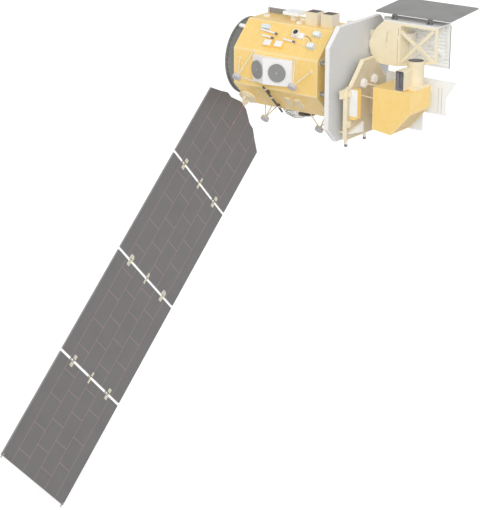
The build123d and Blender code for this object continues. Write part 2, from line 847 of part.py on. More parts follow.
radiator_thickness = 35.0
radiator_back = scope_left + scope_depth
with BuildPart() as scope_radiator:
    with BuildSketch(Plane.XZ.offset(-radiator_back)):
        with Locations(((scope_tip + 30 + scope_front) / 2, (190.0 + 1130.0) / 2)):
            Rectangle(scope_front - scope_tip - 30, 1130.0 - 190.0)
    extrude(amount=-radiator_thickness)
write_piece(scope_radiator, "scope_radiator")

# ---------------------------------------------------------------- shade
shade_length = 1860.0
shade_width = 1160.0
shade_thickness = 30.0
shade_back = deck_back + 170.0
shade_axis_y = 485.0
shade_axis_z = scope_top + roof_thickness + 80.0
shade_tilt = 4.5                # rises away from its hinge
shade_pin_radius = 12.0
shade_eye_radius = 26.0
shade_overhang = 12.0
bracket_places = (641.0, 1510.0)
bracket_thickness = 26.0
bracket_gap = 60.0
bracket_width = 90.0
with BuildPart() as shade_brackets:
    for ahead in bracket_places:
        for side in (-1, 1):
            x = deck_back + ahead + side * (bracket_gap + bracket_thickness) / 2
            with BuildSketch(Plane(origin=(x, 0, 0), x_dir=(0, 1, 0), z_dir=(1, 0, 0))):
                with BuildLine():
                    Polyline(
                        (shade_axis_y - bracket_width / 2, scope_top + roof_thickness),
                        (shade_axis_y + bracket_width / 2, scope_top + roof_thickness),
                        (shade_axis_y + shade_eye_radius, shade_axis_z),
                        (shade_axis_y - shade_eye_radius, shade_axis_z),
                        close=True,
                    )
                make_face()
                with Locations((shade_axis_y, shade_axis_z)):
                    Circle(shade_eye_radius)
            extrude(amount=bracket_thickness / 2, both=True)
        with BuildSketch(Plane(origin=(deck_back + ahead, 0, 0), x_dir=(0, 1, 0), z_dir=(1, 0, 0))):
            with Locations((shade_axis_y, shade_axis_z)):
                Circle(shade_pin_radius)
        extrude(amount=bracket_gap / 2 + bracket_thickness, both=True)
write_piece(shade_brackets, "shade_brackets")

shade_lift = 34.0               # of the shade's underside above the hinge axis
tilt = radians(shade_tilt)
shade_along = Vector(0, cos(tilt), sin(tilt))
shade_normal = Vector(0, -sin(tilt), cos(tilt))
shade_corner = Vector(shade_back, shade_axis_y, shade_axis_z) + shade_normal * shade_lift
with BuildPart() as shade:
    with BuildSketch(Plane(origin=shade_corner, x_dir=(1, 0, 0), z_dir=shade_normal)):
        with Locations((shade_length / 2, shade_width / 2 - shade_overhang)):
            Rectangle(shade_length, shade_width)
    extrude(amount=shade_thickness)
write_piece(shade, "shade")

eye_clearance = 2.0
with BuildPart() as shade_arms:
    for ahead in bracket_places:
        x = deck_back + ahead
        with BuildSketch(Plane(origin=(x, 0, 0), x_dir=(0, 1, 0), z_dir=(1, 0, 0))):
            with Locations((shade_axis_y, shade_axis_z)):
                Circle(shade_eye_radius)
            with BuildLine():
                heel = Vector(x, shade_axis_y, shade_axis_z) - shade_along * 0
                Polyline(
                    (heel.Y, heel.Z),
                    ((heel + shade_along * 90).Y, (heel + shade_along * 90).Z),
                    ((heel + shade_along * 90 + shade_normal * shade_lift).Y,
                     (heel + shade_along * 90 + shade_normal * shade_lift).Z),
                    ((heel + shade_normal * shade_lift).Y, (heel + shade_normal * shade_lift).Z),
                    close=True,
                )
            make_face()
            with Locations((shade_axis_y, shade_axis_z)):
                Circle(shade_pin_radius + seat, mode=Mode.SUBTRACT)
        extrude(amount=bracket_gap / 2 - eye_clearance, both=True)
write_piece(shade_arms, "shade_arms")

# ---------------------------------------------------------------- imager radiator
flank_back = deck_back + 400.0
flank_y = 620.0
flank_thickness = 40.0
flank_outline = (
    (flank_back, 0.0),
    (deck_back + 2117.0, -20.0),
    (deck_back + 1888.0, -393.0),
    (deck_back + 1900.0, -768.0),
    (deck_back + 1342.0, -768.0),
    (deck_back + 1342.0, -1195.0),
    (flank_back, -1195.0),
)
with BuildPart() as imager_radiator:
    with BuildSketch(Plane.XZ.offset(-flank_y)):
        with BuildLine():
            Polyline(*flank_outline, close=True)
        make_face()
    extrude(amount=-flank_thickness)
write_piece(imager_radiator, "imager_radiator")

flank_stand_radius = 24.0
flank_stand_places = ((830.0, -250.0), (1500.0, -250.0), (830.0, -880.0), (1250.0, -700.0))
with BuildPart() as radiator_stands:
    for ahead, z in flank_stand_places:
        with BuildSketch(Plane.XZ.offset(-imager_left - imager_width)):
            with Locations((deck_back + ahead, z)):
                Circle(flank_stand_radius)
        extrude(amount=-(flank_y - imager_left - imager_width))
write_piece(radiator_stands, "radiator_stands")
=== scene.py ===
"""Looks of an Earth observation satellite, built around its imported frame.

Metres. +X runs along the bus towards the instrument deck, +Z is up, and the
origin is the middle of the separation plane at the rear.
"""

import json
import logging
import math
from dataclasses import dataclass, field
from enum import Enum
from typing import Callable, Sequence

import bpy
import numpy as np
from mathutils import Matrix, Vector
from numpy.typing import NDArray


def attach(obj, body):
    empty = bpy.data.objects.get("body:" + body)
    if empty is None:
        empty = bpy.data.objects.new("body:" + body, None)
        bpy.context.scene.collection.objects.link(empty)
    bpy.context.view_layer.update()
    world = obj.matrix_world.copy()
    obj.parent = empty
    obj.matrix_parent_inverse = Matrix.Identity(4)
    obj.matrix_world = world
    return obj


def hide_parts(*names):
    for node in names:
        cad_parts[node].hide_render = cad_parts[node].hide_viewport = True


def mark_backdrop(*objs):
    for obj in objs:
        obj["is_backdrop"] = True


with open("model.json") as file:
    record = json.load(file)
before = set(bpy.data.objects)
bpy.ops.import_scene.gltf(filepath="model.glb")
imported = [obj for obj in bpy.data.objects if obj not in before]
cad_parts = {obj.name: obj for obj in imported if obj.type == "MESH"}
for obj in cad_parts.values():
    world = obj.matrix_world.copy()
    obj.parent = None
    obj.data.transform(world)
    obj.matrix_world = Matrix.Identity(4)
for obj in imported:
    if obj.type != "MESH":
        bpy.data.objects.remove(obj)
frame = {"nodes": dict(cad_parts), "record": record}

Array = NDArray[np.float64]
Colour = tuple[float, float, float, float]
Triple = tuple[float, float, float]

log = logging.getLogger("satellite")
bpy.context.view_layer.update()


# ------------------------------------------------------------------ colours and nodes
def tint(red: int, green: int, blue: int) -> Colour:
    """Scene-linear colour of a screen colour.

    Formula: a channel c between 0 and 1 becomes ((c + 0.055) / 1.055) to the
    power 2.4, or c / 12.92 where it is nearly black.

    Args:
        red: Red channel, 0 to 255.
        green: Green channel, 0 to 255.
        blue: Blue channel, 0 to 255.

    Returns:
        Linear red, green, blue and an alpha of 1.
    """
    c = np.array([red, green, blue], float) / 255.0
    linear = np.where(c > 0.04045, ((c + 0.055) / 1.055) ** 2.4, c / 12.92)
    return (float(linear[0]), float(linear[1]), float(linear[2]), 1.0)


class Graph:
    """Node tree of one material, with short calls for the nodes that finishes share."""

    def __init__(self, name: str) -> None:
        """Start a material with one shader.

        Args:
            name: The material's name.
        """
        self.material = bpy.data.materials.new(name)
        self.material.use_nodes = True
        self.tree = self.material.node_tree
        self.shader = self.tree.nodes["Principled BSDF"]

    def feed(self, socket: bpy.types.NodeSocket, value: object) -> None:
        """Link a socket to another, or give it a plain value.

        Args:
            socket: The input that is set.
            value: An output socket, a number, a vector or a colour.
        """
        if isinstance(value, bpy.types.NodeSocket):
            self.tree.links.new(value, socket)
        else:
            socket.default_value = value

    def node(self, kind: str, inputs: dict | None = None, **settings: object) -> bpy.types.Node:
        """Add one shader node.

        Args:
            kind: Its type without the leading ShaderNode.
            inputs: Values or sockets by input name or index.
            **settings: Attributes of the node itself.

        Returns:
            The new node.
        """
        made = self.tree.nodes.new("ShaderNode" + kind)
        for name, value in settings.items():
            setattr(made, name, value)
        for name, value in (inputs or {}).items():
            self.feed(made.inputs[name], value)
        return made

    def where(
        self, turn: Triple = (0, 0, 0), scale: Triple = (1, 1, 1), shift: Triple = (0, 0, 0)
    ) -> bpy.types.NodeSocket:
        """Object coordinates in metres, turned, stretched and shifted.

        Args:
            turn: Turn in radians about X, Y and Z.
            scale: Stretch along X, Y and Z.
            shift: Move along X, Y and Z.

        Returns:
            The vector output.
        """
        place = self.node("TexCoord").outputs["Object"]
        return self.node(
            "Mapping", {"Vector": place, "Rotation": turn, "Scale": scale, "Location": shift}
        ).outputs[0]

    def noise(
        self, where: bpy.types.NodeSocket, size: float, detail: float = 3.0, rough: float = 0.5
    ) -> bpy.types.NodeSocket:
        """Cloudy noise whose blobs are about size metres across."""
        inputs = {"Vector": where, "Scale": 1.0 / size, "Detail": detail, "Roughness": rough}
        return self.node("TexNoise", inputs).outputs[0]

    def facets(self, where: bpy.types.NodeSocket, size: float, feature: str = "F1") -> bpy.types.NodeSocket:
        """Distance field of scattered cells about size metres across."""
        return self.node(
            "TexVoronoi", {"Vector": where, "Scale": 1.0 / size}, feature=feature
        ).outputs["Distance"]

    def calc(self, operation: str, a: object, b: object = 0.0, c: object = 0.0) -> bpy.types.NodeSocket:
        """One step of arithmetic on up to three values."""
        return self.node("Math", {0: a, 1: b, 2: c}, operation=operation).outputs[0]

    def step(self, value: object, low: float, high: float) -> bpy.types.NodeSocket:
        """Smooth step of a value, 0 at low and 1 at high."""
        inputs = {"Value": value, "From Min": low, "From Max": high}
        return self.node("MapRange", inputs, interpolation_type="SMOOTHSTEP").outputs[0]

    def mix(self, factor: object, a: object, b: object) -> bpy.types.NodeSocket:
        """Blend of two colours, all a at 0 and all b at 1."""
        made = self.node("Mix", data_type="RGBA")
        self.feed(made.inputs[0], factor)
        self.feed(made.inputs[6], a)
        self.feed(made.inputs[7], b)
        return made.outputs[2]

    def emboss(self, height: object, distance: float, strength: float = 1.0) -> None:
        """Bump the surface by a height field, distance metres from its low to its high."""
        made = self.node("Bump", {"Height": height, "Distance": distance, "Strength": strength})
        self.tree.links.new(made.outputs[0], self.shader.inputs["Normal"])

    def dress(self, **values: object) -> bpy.types.Material:
        """Set shader inputs, underscores standing for spaces, and return the material."""
        for name, value in values.items():
            self.feed(self.shader.inputs[name.replace("_", " ")], value)
        return self.material


# ------------------------------------------------------------------ finishes
@dataclass(frozen=True)
class Paint:
    """Sprayed coat: faint blotches of tone over a fine orange-peel grain."""

    name: str
    colour: Colour
    shade: Colour
    roughness: float = 0.5
    metallic: float = 0.0
    blotch: float = 0.35
    grain: float = 0.004
    relief: float = 0.00025

    def build(self) -> bpy.types.Material:
        """Make the material: colour leans to the shade where two noises are high."""
        g = Graph(self.name)
        place = g.where()
        cloud = g.step(g.noise(place, self.blotch, 4.0, 0.6), 0.35, 0.75)
        speck = g.step(g.noise(place, self.blotch / 14, 2.0), 0.55, 0.8)
        blend = g.calc("MULTIPLY", g.calc("ADD", cloud, g.calc("MULTIPLY", speck, 0.4)), 0.6)
        g.emboss(g.noise(place, self.grain, 2.0), self.relief)
        rough = g.calc("ADD", self.roughness - 0.06, g.calc("MULTIPLY", cloud, 0.12))
        return g.dress(
            Base_Color=g.mix(blend, self.colour, self.shade), Roughness=rough, Metallic=self.metallic
        )


@dataclass(frozen=True)
class CrinkledFilm:
    """Metallised film pulled over a frame: long soft creases and small crumples, with painted shade darkening
    the creases.
    """

    name: str
    colour: Colour
    # darker colour painted into the creases as shade
    crease_shade: Colour
    roughness: float = 0.34
    crease_size: float = 0.16
    crumple_size: float = 0.03
    relief: float = 0.0012

    def build(self) -> bpy.types.Material:
        """Make the material: creases are the valleys of a warped cell field, and their darker colour is painted
        shade.
        """
        g = Graph(self.name)
        place = g.where()
        warp = g.node("TexNoise", {"Vector": place, "Scale": 2.5, "Detail": 2.0}).outputs["Color"]
        bent = g.node("VectorMath", {0: place, 1: warp}, operation="ADD").outputs[0]
        long = g.facets(bent, self.crease_size)
        small = g.facets(bent, self.crumple_size)
        height = g.calc("ADD", g.calc("MULTIPLY", long, 0.8), g.calc("MULTIPLY", small, 0.2))
        g.emboss(height, self.relief)
        # painted shade: the colour leans to the darker crease colour where the relief is high
        tone = g.step(height, 0.25, 0.75)
        return g.dress(
            Base_Color=g.mix(g.calc("MULTIPLY", tone, 0.45), self.colour, self.crease_shade),
            Roughness=g.calc("ADD", self.roughness, g.calc("MULTIPLY", tone, 0.12)),
            Metallic=0.0,
            Coat_Weight=0.25,
            Coat_Roughness=0.2,
        )


@dataclass(frozen=True)
class Blanket:
    """Coated glass cloth: a fine plain weave over slow folds."""

    name: str
    colour: Colour
    shade: Colour
    thread: float = 0.006
    fold: float = 0.22
    relief: float = 0.0009

    def build(self) -> bpy.types.Material:
        """Make the material: the weave is the product of two waves along and across."""
        g = Graph(self.name)
        place = g.where()
        fold = g.noise(place, self.fold, 4.0, 0.55)
        parts = g.node("SeparateXYZ", {0: place})
        rate = 2 * math.pi / self.thread
        waves = [g.calc("SINE", g.calc("MULTIPLY", parts.outputs[i], rate)) for i in range(3)]
        weave = g.calc(
            "ADD", g.calc("MULTIPLY", waves[0], waves[1]), g.calc("MULTIPLY", waves[1], waves[2])
        )
        g.emboss(g.calc("ADD", fold, g.calc("MULTIPLY", weave, 0.06)), self.relief * 4, 0.5)
        return g.dress(
            Base_Color=g.mix(g.step(fold, 0.35, 0.7), self.colour, self.shade),
            Roughness=0.72,
            Sheen_Weight=0.12,
            Sheen_Roughness=0.5,
        )


@dataclass(frozen=True)
class CellSheet:
    """Solar cells under cover glass, with a brick pattern of string gaps on one panel.

    A point's reach is its distance out along the wing and its cross place the
    distance across it, both from the drive's foot.
    """

    name: str
    colour: Colour
    line: Colour
    odd_rows: tuple[float, ...]
    even_rows: tuple[float, ...]
    column: float = 0.447
    width: float = 0.013
    cell: float = 0.0745
    foot: Triple = (0.449, -0.608819, -0.748826)
    outward: Triple = (0.0, -0.74489406, -0.66718277)
    upward: Triple = (0.0, -0.66718277, 0.74489406)

    def band(self, g: Graph, value: bpy.types.NodeSocket, low: float, high: float) -> bpy.types.NodeSocket:
        """1 where the value lies between low and high, else 0."""
        return g.calc("MULTIPLY", g.calc("GREATER_THAN", value, low), g.calc("LESS_THAN", value, high))

    def gap(
        self, g: Graph, value: bpy.types.NodeSocket, pitch: float, width: float
    ) -> bpy.types.NodeSocket:
        """1 within half a width of each whole multiple of the pitch, else 0."""
        near = g.calc("PINGPONG", value, pitch / 2)
        return g.calc("LESS_THAN", near, width / 2)

    def rows(
        self, g: Graph, reach: bpy.types.NodeSocket, places: tuple[float, ...]
    ) -> bpy.types.NodeSocket:
        """1 within half a line's width of each listed reach, else 0."""
        total: object = 0.0
        for place in places:
            total = g.calc(
                "ADD", total, self.band(g, reach, place - self.width / 2, place + self.width / 2)
            )
        return total

    def build(self) -> bpy.types.Material:
        """Make the material: gap lines lie over a faint grid of single cells."""
        g = Graph(self.name)
        place = g.where()
        local = g.node("VectorMath", {0: place, 1: self.foot}, operation="SUBTRACT").outputs[0]
        reach = g.node("VectorMath", {0: local, 1: self.outward}, operation="DOT_PRODUCT").outputs["Value"]
        cross = g.node("VectorMath", {0: local, 1: self.upward}, operation="DOT_PRODUCT").outputs["Value"]
        c = self.column
        odd = g.calc("ADD", self.band(g, cross, c, 2 * c), self.band(g, cross, -c, 0.0))
        even = g.calc("ADD", self.band(g, cross, 0.0, c), self.band(g, cross, -2 * c, -c))
        lines = g.calc("MULTIPLY", odd, self.rows(g, reach, self.odd_rows))
        lines = g.calc("ADD", lines, g.calc("MULTIPLY", even, self.rows(g, reach, self.even_rows)))
        lines = g.calc("MINIMUM", g.calc("ADD", lines, self.gap(g, cross, c, self.width)), 1.0)
        grid = g.calc(
            "MAXIMUM", self.gap(g, reach, self.cell, 0.002), self.gap(g, cross, self.cell / 2, 0.002)
        )
        tone = g.step(g.noise(place, 0.5, 3.0), 0.35, 0.75)
        colour = g.mix(g.calc("MULTIPLY", tone, 0.3), self.colour, tint(102, 99, 99))
        colour = g.mix(g.calc("MULTIPLY", grid, 0.25), colour, tint(95, 92, 92))
        colour = g.mix(g.calc("MULTIPLY", lines, 0.8), colour, self.line)
        height = g.calc("SUBTRACT", 1.0, g.calc("MAXIMUM", lines, grid))
        g.emboss(height, 0.0004, 0.4)
        return g.dress(Base_Color=colour, Roughness=g.calc("ADD", 0.34, g.calc("MULTIPLY", tone, 0.08)))


@dataclass(frozen=True)
class TwoCoat:
    """Two coats that change over at set places along one axis, 0 for X to 2 for Z."""

    name: str
    first: Colour
    second: Colour
    axis: int
    places: tuple[float, ...]
    roughness: float = 0.6
    fold: float = 0.2

    def build(self) -> bpy.types.Material:
        """Make the material: each place passed along the axis swaps the coat."""
        g = Graph(self.name)
        place = g.where()
        along = g.node("SeparateXYZ", {0: place}).outputs[self.axis]
        side: object = 0.0
        for limit in self.places:
            side = g.calc("ABSOLUTE", g.calc("SUBTRACT", side, g.calc("GREATER_THAN", along, limit)))
        cloud = g.noise(place, self.fold, 4.0, 0.55)
        g.emboss(cloud, 0.002, 0.4)
        worn = g.calc("MULTIPLY", g.step(cloud, 0.35, 0.75), 0.06)
        colour = g.mix(worn, g.mix(side, self.first, self.second), tint(120, 112, 100))
        return g.dress(Base_Color=colour, Roughness=g.calc("ADD", self.roughness, worn))


Finish = Paint | CrinkledFilm | Blanket | CellSheet | TwoCoat


def cell_rows(start: float, places: Sequence[float]) -> tuple[float, ...]:
    """Reaches of string gaps on a panel that starts at a reach."""
    return tuple(start + place for place in places)


PANEL_STARTS = {"panel_2": 2.430, "panel_3": 4.914, "panel_4": 7.398}
ODD_PLACES = (0.210, 0.795, 1.472, 2.097)
EVEN_PLACES = (0.500, 1.170, 1.780)
CELLS = tint(110, 107, 107)
STRING_GAP = tint(164, 134, 139)

FINISHES: dict[str, Finish] = {
    "gold_film": CrinkledFilm("gold_film", tint(254, 219, 138), tint(250, 210, 118)),
    # darker copy of the gold film: painted shade for the imager's downward slanted underside
    "shaded_underside_gold": CrinkledFilm("shaded_underside_gold", tint(200, 170, 90), tint(186, 154, 74)),
    "gold_tape": CrinkledFilm(
        "gold_tape", tint(255, 228, 166), tint(252, 220, 148), 0.3, 0.05, 0.02, 0.0005
    ),
    "dark_skirt": Paint("dark_skirt", tint(132, 133, 129), tint(121, 122, 119), 0.45, 0.2),
    "bare_metal": Paint("bare_metal", tint(200, 200, 198), tint(184, 184, 182), 0.35, 0.5),
    "deck_grey": Paint("deck_grey", tint(211, 212, 213), tint(205, 206, 207), 0.5, 0.0, 0.8),
    "white_paint": Paint("white_paint", tint(249, 248, 246), tint(242, 240, 238)),
    # greyer, bluer copy of white paint: painted shade on the upper facet's white boxes
    "box_white_shaded": Paint("box_white_shaded", tint(228, 236, 238), tint(220, 228, 231)),
    "radiator_white": Paint("radiator_white", tint(251, 254, 255), tint(247, 250, 252)),
    "tan_film": Blanket("tan_film", tint(249, 238, 207), tint(244, 231, 198)),
    "tower_film": Blanket("tower_film", tint(242, 229, 198), tint(234, 220, 188)),
    "taupe_film": Blanket("taupe_film", tint(212, 200, 175), tint(205, 193, 168)),
    "dark_panel": Paint("dark_panel", tint(147, 147, 146), tint(140, 139, 138), 0.45, 0.0, 0.5),
    "pad_grey": Paint("pad_grey", tint(168, 165, 166), tint(156, 153, 154)),
    "hinge_pale": Paint("hinge_pale", tint(216, 214, 196), tint(206, 204, 187)),
    "stow_pad": Paint("stow_pad", tint(206, 201, 203), tint(198, 193, 195)),
    "pale_plate": Paint("pale_plate", tint(240, 232, 220), tint(232, 224, 212)),
    "tan_paint": Paint("tan_paint", tint(240, 229, 200), tint(230, 217, 187)),
    "black_paint": Paint("black_paint", tint(120, 117, 118), tint(106, 103, 104)),
    "dark_mouth": Paint("dark_mouth", tint(140, 137, 136), tint(130, 127, 126), 0.7),
    "cave_mouth": Paint("cave_mouth", tint(158, 155, 157), tint(148, 145, 147), 0.7),
    "red_lead": Paint("red_lead", tint(205, 150, 152), tint(190, 130, 134), 0.5),
    "lead_grey": Paint("lead_grey", tint(190, 190, 188), tint(178, 178, 176), 0.5),
    "frame_film": TwoCoat("frame_film", tint(249, 238, 207), tint(250, 250, 249), 1, (0.42,)),
    "pedestal_film": TwoCoat("pedestal_film", tint(212, 200, 175), tint(249, 238, 207), 0, (3.453,)),
    "foot_coat": TwoCoat("foot_coat", tint(124, 120, 120), tint(242, 233, 210), 2, (-1.351,)),
    "banded_mast": TwoCoat(
        "banded_mast", tint(92, 88, 84), tint(236, 230, 222), 2,
        (-0.925, -0.890, -0.660, -0.620, -0.425, -0.390),
    ),
    "solar_cells": CellSheet("solar_cells", CELLS, STRING_GAP, (1.222, 1.905), (0.927, 1.508, 2.206)),
}
for panel, start in PANEL_STARTS.items():
    odd, even = cell_rows(start, ODD_PLACES), cell_rows(start, EVEN_PLACES)
    FINISHES["cells_" + panel] = CellSheet("cells_" + panel, CELLS, STRING_GAP, odd, even)


# ------------------------------------------------------------------ studio
@dataclass
class Studio:
    """Floor, soft light and the camera."""

    floor_level: float = -8.5
    floor_half: float = 400.0
    sky_level: float = 0.69
    key_level: float = 0.37
    fill_level: float = 0.07
    fill_from: Triple = (0.72, -0.42, 0.30)
    key_from: Triple = (0.55, -0.71, 0.44)
    floor_tone: float = 0.74
    eye: Triple = (21.9919, -29.3528, 8.7480)
    gaze: Triple = (-0.5662, 0.7475, -0.3472)
    lens: float = 116.83

    def floor(self) -> bpy.types.Object:
        """Pale floor as one flat square under the object."""
        corners = np.array([(-1, -1, 0), (1, -1, 0), (1, 1, 0), (-1, 1, 0)], float) * self.floor_half
        corners[:, 2] = self.floor_level
        mesh = bpy.data.meshes.new("studio_floor")
        mesh.from_pydata(corners.tolist(), [], [(0, 1, 2, 3)])
        floor = bpy.data.objects.new("studio_floor", mesh)
        bpy.context.scene.collection.objects.link(floor)
        g = Graph("studio_floor")
        seen = g.node("LightPath")
        bright = g.calc("MAXIMUM", seen.outputs["Is Camera Ray"], seen.outputs["Is Glossy Ray"])
        bright = g.calc("MAXIMUM", bright, seen.outputs["Is Transmission Ray"])
        dim = (self.floor_tone,) * 3 + (1.0,)
        g.dress(
            Base_Color=g.mix(bright, dim, (0.98, 0.98, 0.98, 1.0)),
            Emission_Color=(1.0, 1.0, 1.0, 1.0),
            Emission_Strength=g.calc("MULTIPLY", bright, 0.3),
            Roughness=0.9,
            Specular_IOR_Level=0.0,
        )
        floor.data.materials.append(g.material)
        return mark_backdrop(floor) or floor

    def sun(self, name: str, level: float, source: Triple, shadow: bool) -> None:
        """Hang one broad sun lamp.

        Args:
            name: Name of the lamp.
            level: Brightness that it gives a white face turned to it.
            source: Direction that it shines from.
            shadow: Whether things stand in its way.
        """
        lamp = bpy.data.lights.new(name, "SUN")
        lamp.energy = math.pi * level
        lamp.angle = math.radians(40)
        lamp.use_shadow = shadow
        holder = bpy.data.objects.new(name, lamp)
        holder.rotation_euler = Vector(source).to_track_quat("Z", "Y").to_euler()
        bpy.context.scene.collection.objects.link(holder)

    def light(self) -> None:
        """Even sky, and one broad soft key from beside the camera."""
        world = bpy.data.worlds.new("studio_sky")
        bpy.context.scene.world = world
        world.use_nodes = True
        tree = world.node_tree
        back = tree.nodes["Background"]
        path = tree.nodes.new("ShaderNodeLightPath")
        level = tree.nodes.new("ShaderNodeMapRange")
        tree.links.new(path.outputs["Is Camera Ray"], level.inputs["Value"])
        level.inputs["To Min"].default_value = self.sky_level
        level.inputs["To Max"].default_value = 1.0
        tree.links.new(level.outputs[0], back.inputs["Strength"])
        back.inputs["Color"].default_value = (1.0, 1.0, 1.0, 1.0)
        self.sun("studio_key", self.key_level, self.key_from, True)
        self.sun("studio_fill", self.fill_level, self.fill_from, False)

    def camera(self) -> None:
        """Camera at the chosen viewing angle."""
        data = bpy.data.cameras.new("studio_camera")
        data.lens = self.lens
        data.sensor_width = 36.0
        data.clip_end = 1000.0
        eye = bpy.data.objects.new("studio_camera", data)
        eye.location = self.eye
        eye.rotation_euler = Vector(self.gaze).to_track_quat("-Z", "Y").to_euler()
        bpy.context.scene.collection.objects.link(eye)
        bpy.context.scene.camera = eye

    def build(self) -> None:
        """Set the stage."""
        self.camera()
        self.floor()
        self.light()
        bpy.context.scene.view_settings.view_transform = "Standard"


# ------------------------------------------------------------------ places and forms
class Facet(Enum):
    """The bus facets on the wing's side, by the tilt of their outward direction above -Y."""

    TOP = 90.0
    UPPER = 45.0
    SIDE = 0.0
    LOWER = -45.0
    BOTTOM = -90.0


@dataclass(frozen=True)
class Place:
    """A flat place in space: an origin and three square directions."""

    origin: Array
    across: Array
    up: Array
    out: Array

    def put(self, local: Array) -> Array:
        """Points in space: the origin plus x across, y up and z out."""
        return self.origin + np.asarray(local, float) @ np.stack([self.across, self.up, self.out])

    def moved(self, x: float = 0.0, y: float = 0.0, z: float = 0.0) -> "Place":
        """The same directions from an origin moved along them."""
        return Place(self.put(np.array([x, y, z])), self.across, self.up, self.out)


def place(origin: Sequence[float], out: Sequence[float], across: Sequence[float]) -> Place:
    """Place with its out and across directions given.

    Formula: across loses its share along out, and up is out crossed with across.

    Args:
        origin: Its origin.
        out: Direction that it faces.
        across: Rough direction of its local x.

    Returns:
        The place, with three unit directions.
    """
    o = np.array(out, float) / np.linalg.norm(out)
    a = np.array(across, float) - o * float(np.dot(across, o))
    a /= np.linalg.norm(a)
    return Place(np.array(origin, float), a, np.cross(o, a), o)


def on_facet(tilt: float, x: float, y: float = 0.0, lift: float = 0.0, apothem: float = 0.96) -> Place:
    """Place on a bus facet: across runs along the bus and up runs up the facet.

    Formula: out is (0, -cos tilt, sin tilt) and up is (0, sin tilt, cos tilt).

    Args:
        tilt: Tilt of the facet's outward direction above -Y, in degrees.
        x: Distance along the bus.
        y: Distance up the facet from its middle line.
        lift: Height above the skin.
        apothem: Distance of the skin from the bus axis.

    Returns:
        The place.
    """
    t = math.radians(tilt)
    out = np.array([0.0, -math.cos(t), math.sin(t)])
    up = np.array([0.0, math.sin(t), math.cos(t)])
    return Place(
        out * (apothem + lift) + up * y + np.array([x, 0.0, 0.0]), np.array([1.0, 0.0, 0.0]), up, out
    )


def ring_points(radius: float, count: int, start: float = 0.0) -> Array:
    """Corners of a regular polygon: radius times cosine and sine of evenly spaced angles."""
    angle = start + np.arange(count) * 2 * math.pi / count
    return radius * np.stack([np.cos(angle), np.sin(angle)], -1)


def rounded(width: float, height: float, corner: float, steps: int = 4) -> Array:
    """Outline of a rounded rectangle round the origin.

    Formula: a quarter circle of the corner's radius about each corner's centre.

    Args:
        width: Its size along x.
        height: Its size along y.
        corner: Radius of its corners.
        steps: Points of each corner.

    Returns:
        Points in order, (4 * steps, 2).
    """
    angle = np.linspace(0, math.pi / 2, steps)[None, :] + np.arange(4)[:, None] * math.pi / 2
    signs = np.array([(1, 1), (-1, 1), (-1, -1), (1, -1)], float)
    centres = signs * np.array([width / 2 - corner, height / 2 - corner])
    arcs = corner * np.stack([np.cos(angle), np.sin(angle)], -1)
    return (centres[:, None, :] + arcs).reshape(-1, 2)


def grown(outline: Array, distance: float) -> Array:
    """Outline moved outward by a distance.

    Formula: each corner moves along the sum of its two edges' outward normals,
    divided by one plus their dot product.

    Args:
        outline: Corners in order, (n, 2).
        distance: The move; a negative one shrinks the outline.

    Returns:
        The moved corners.
    """
    pts = np.asarray(outline, float)
    edge = np.roll(pts, -1, 0) - pts
    edge /= np.linalg.norm(edge, axis=1, keepdims=True)
    normal = np.stack([edge[:, 1], -edge[:, 0]], -1)
    area = float(np.sum(pts[:, 0] * np.roll(pts[:, 1], -1) - pts[:, 1] * np.roll(pts[:, 0], -1)))
    normal *= 1.0 if area > 0 else -1.0
    before = np.roll(normal, 1, 0)
    share = 1.0 + np.sum(normal * before, axis=1, keepdims=True)
    return pts + distance * (normal + before) / share


def at_height(outline: Array, height: float) -> Array:
    """Flat outline as local points at one height."""
    return np.column_stack([outline, np.full(len(outline), height)])


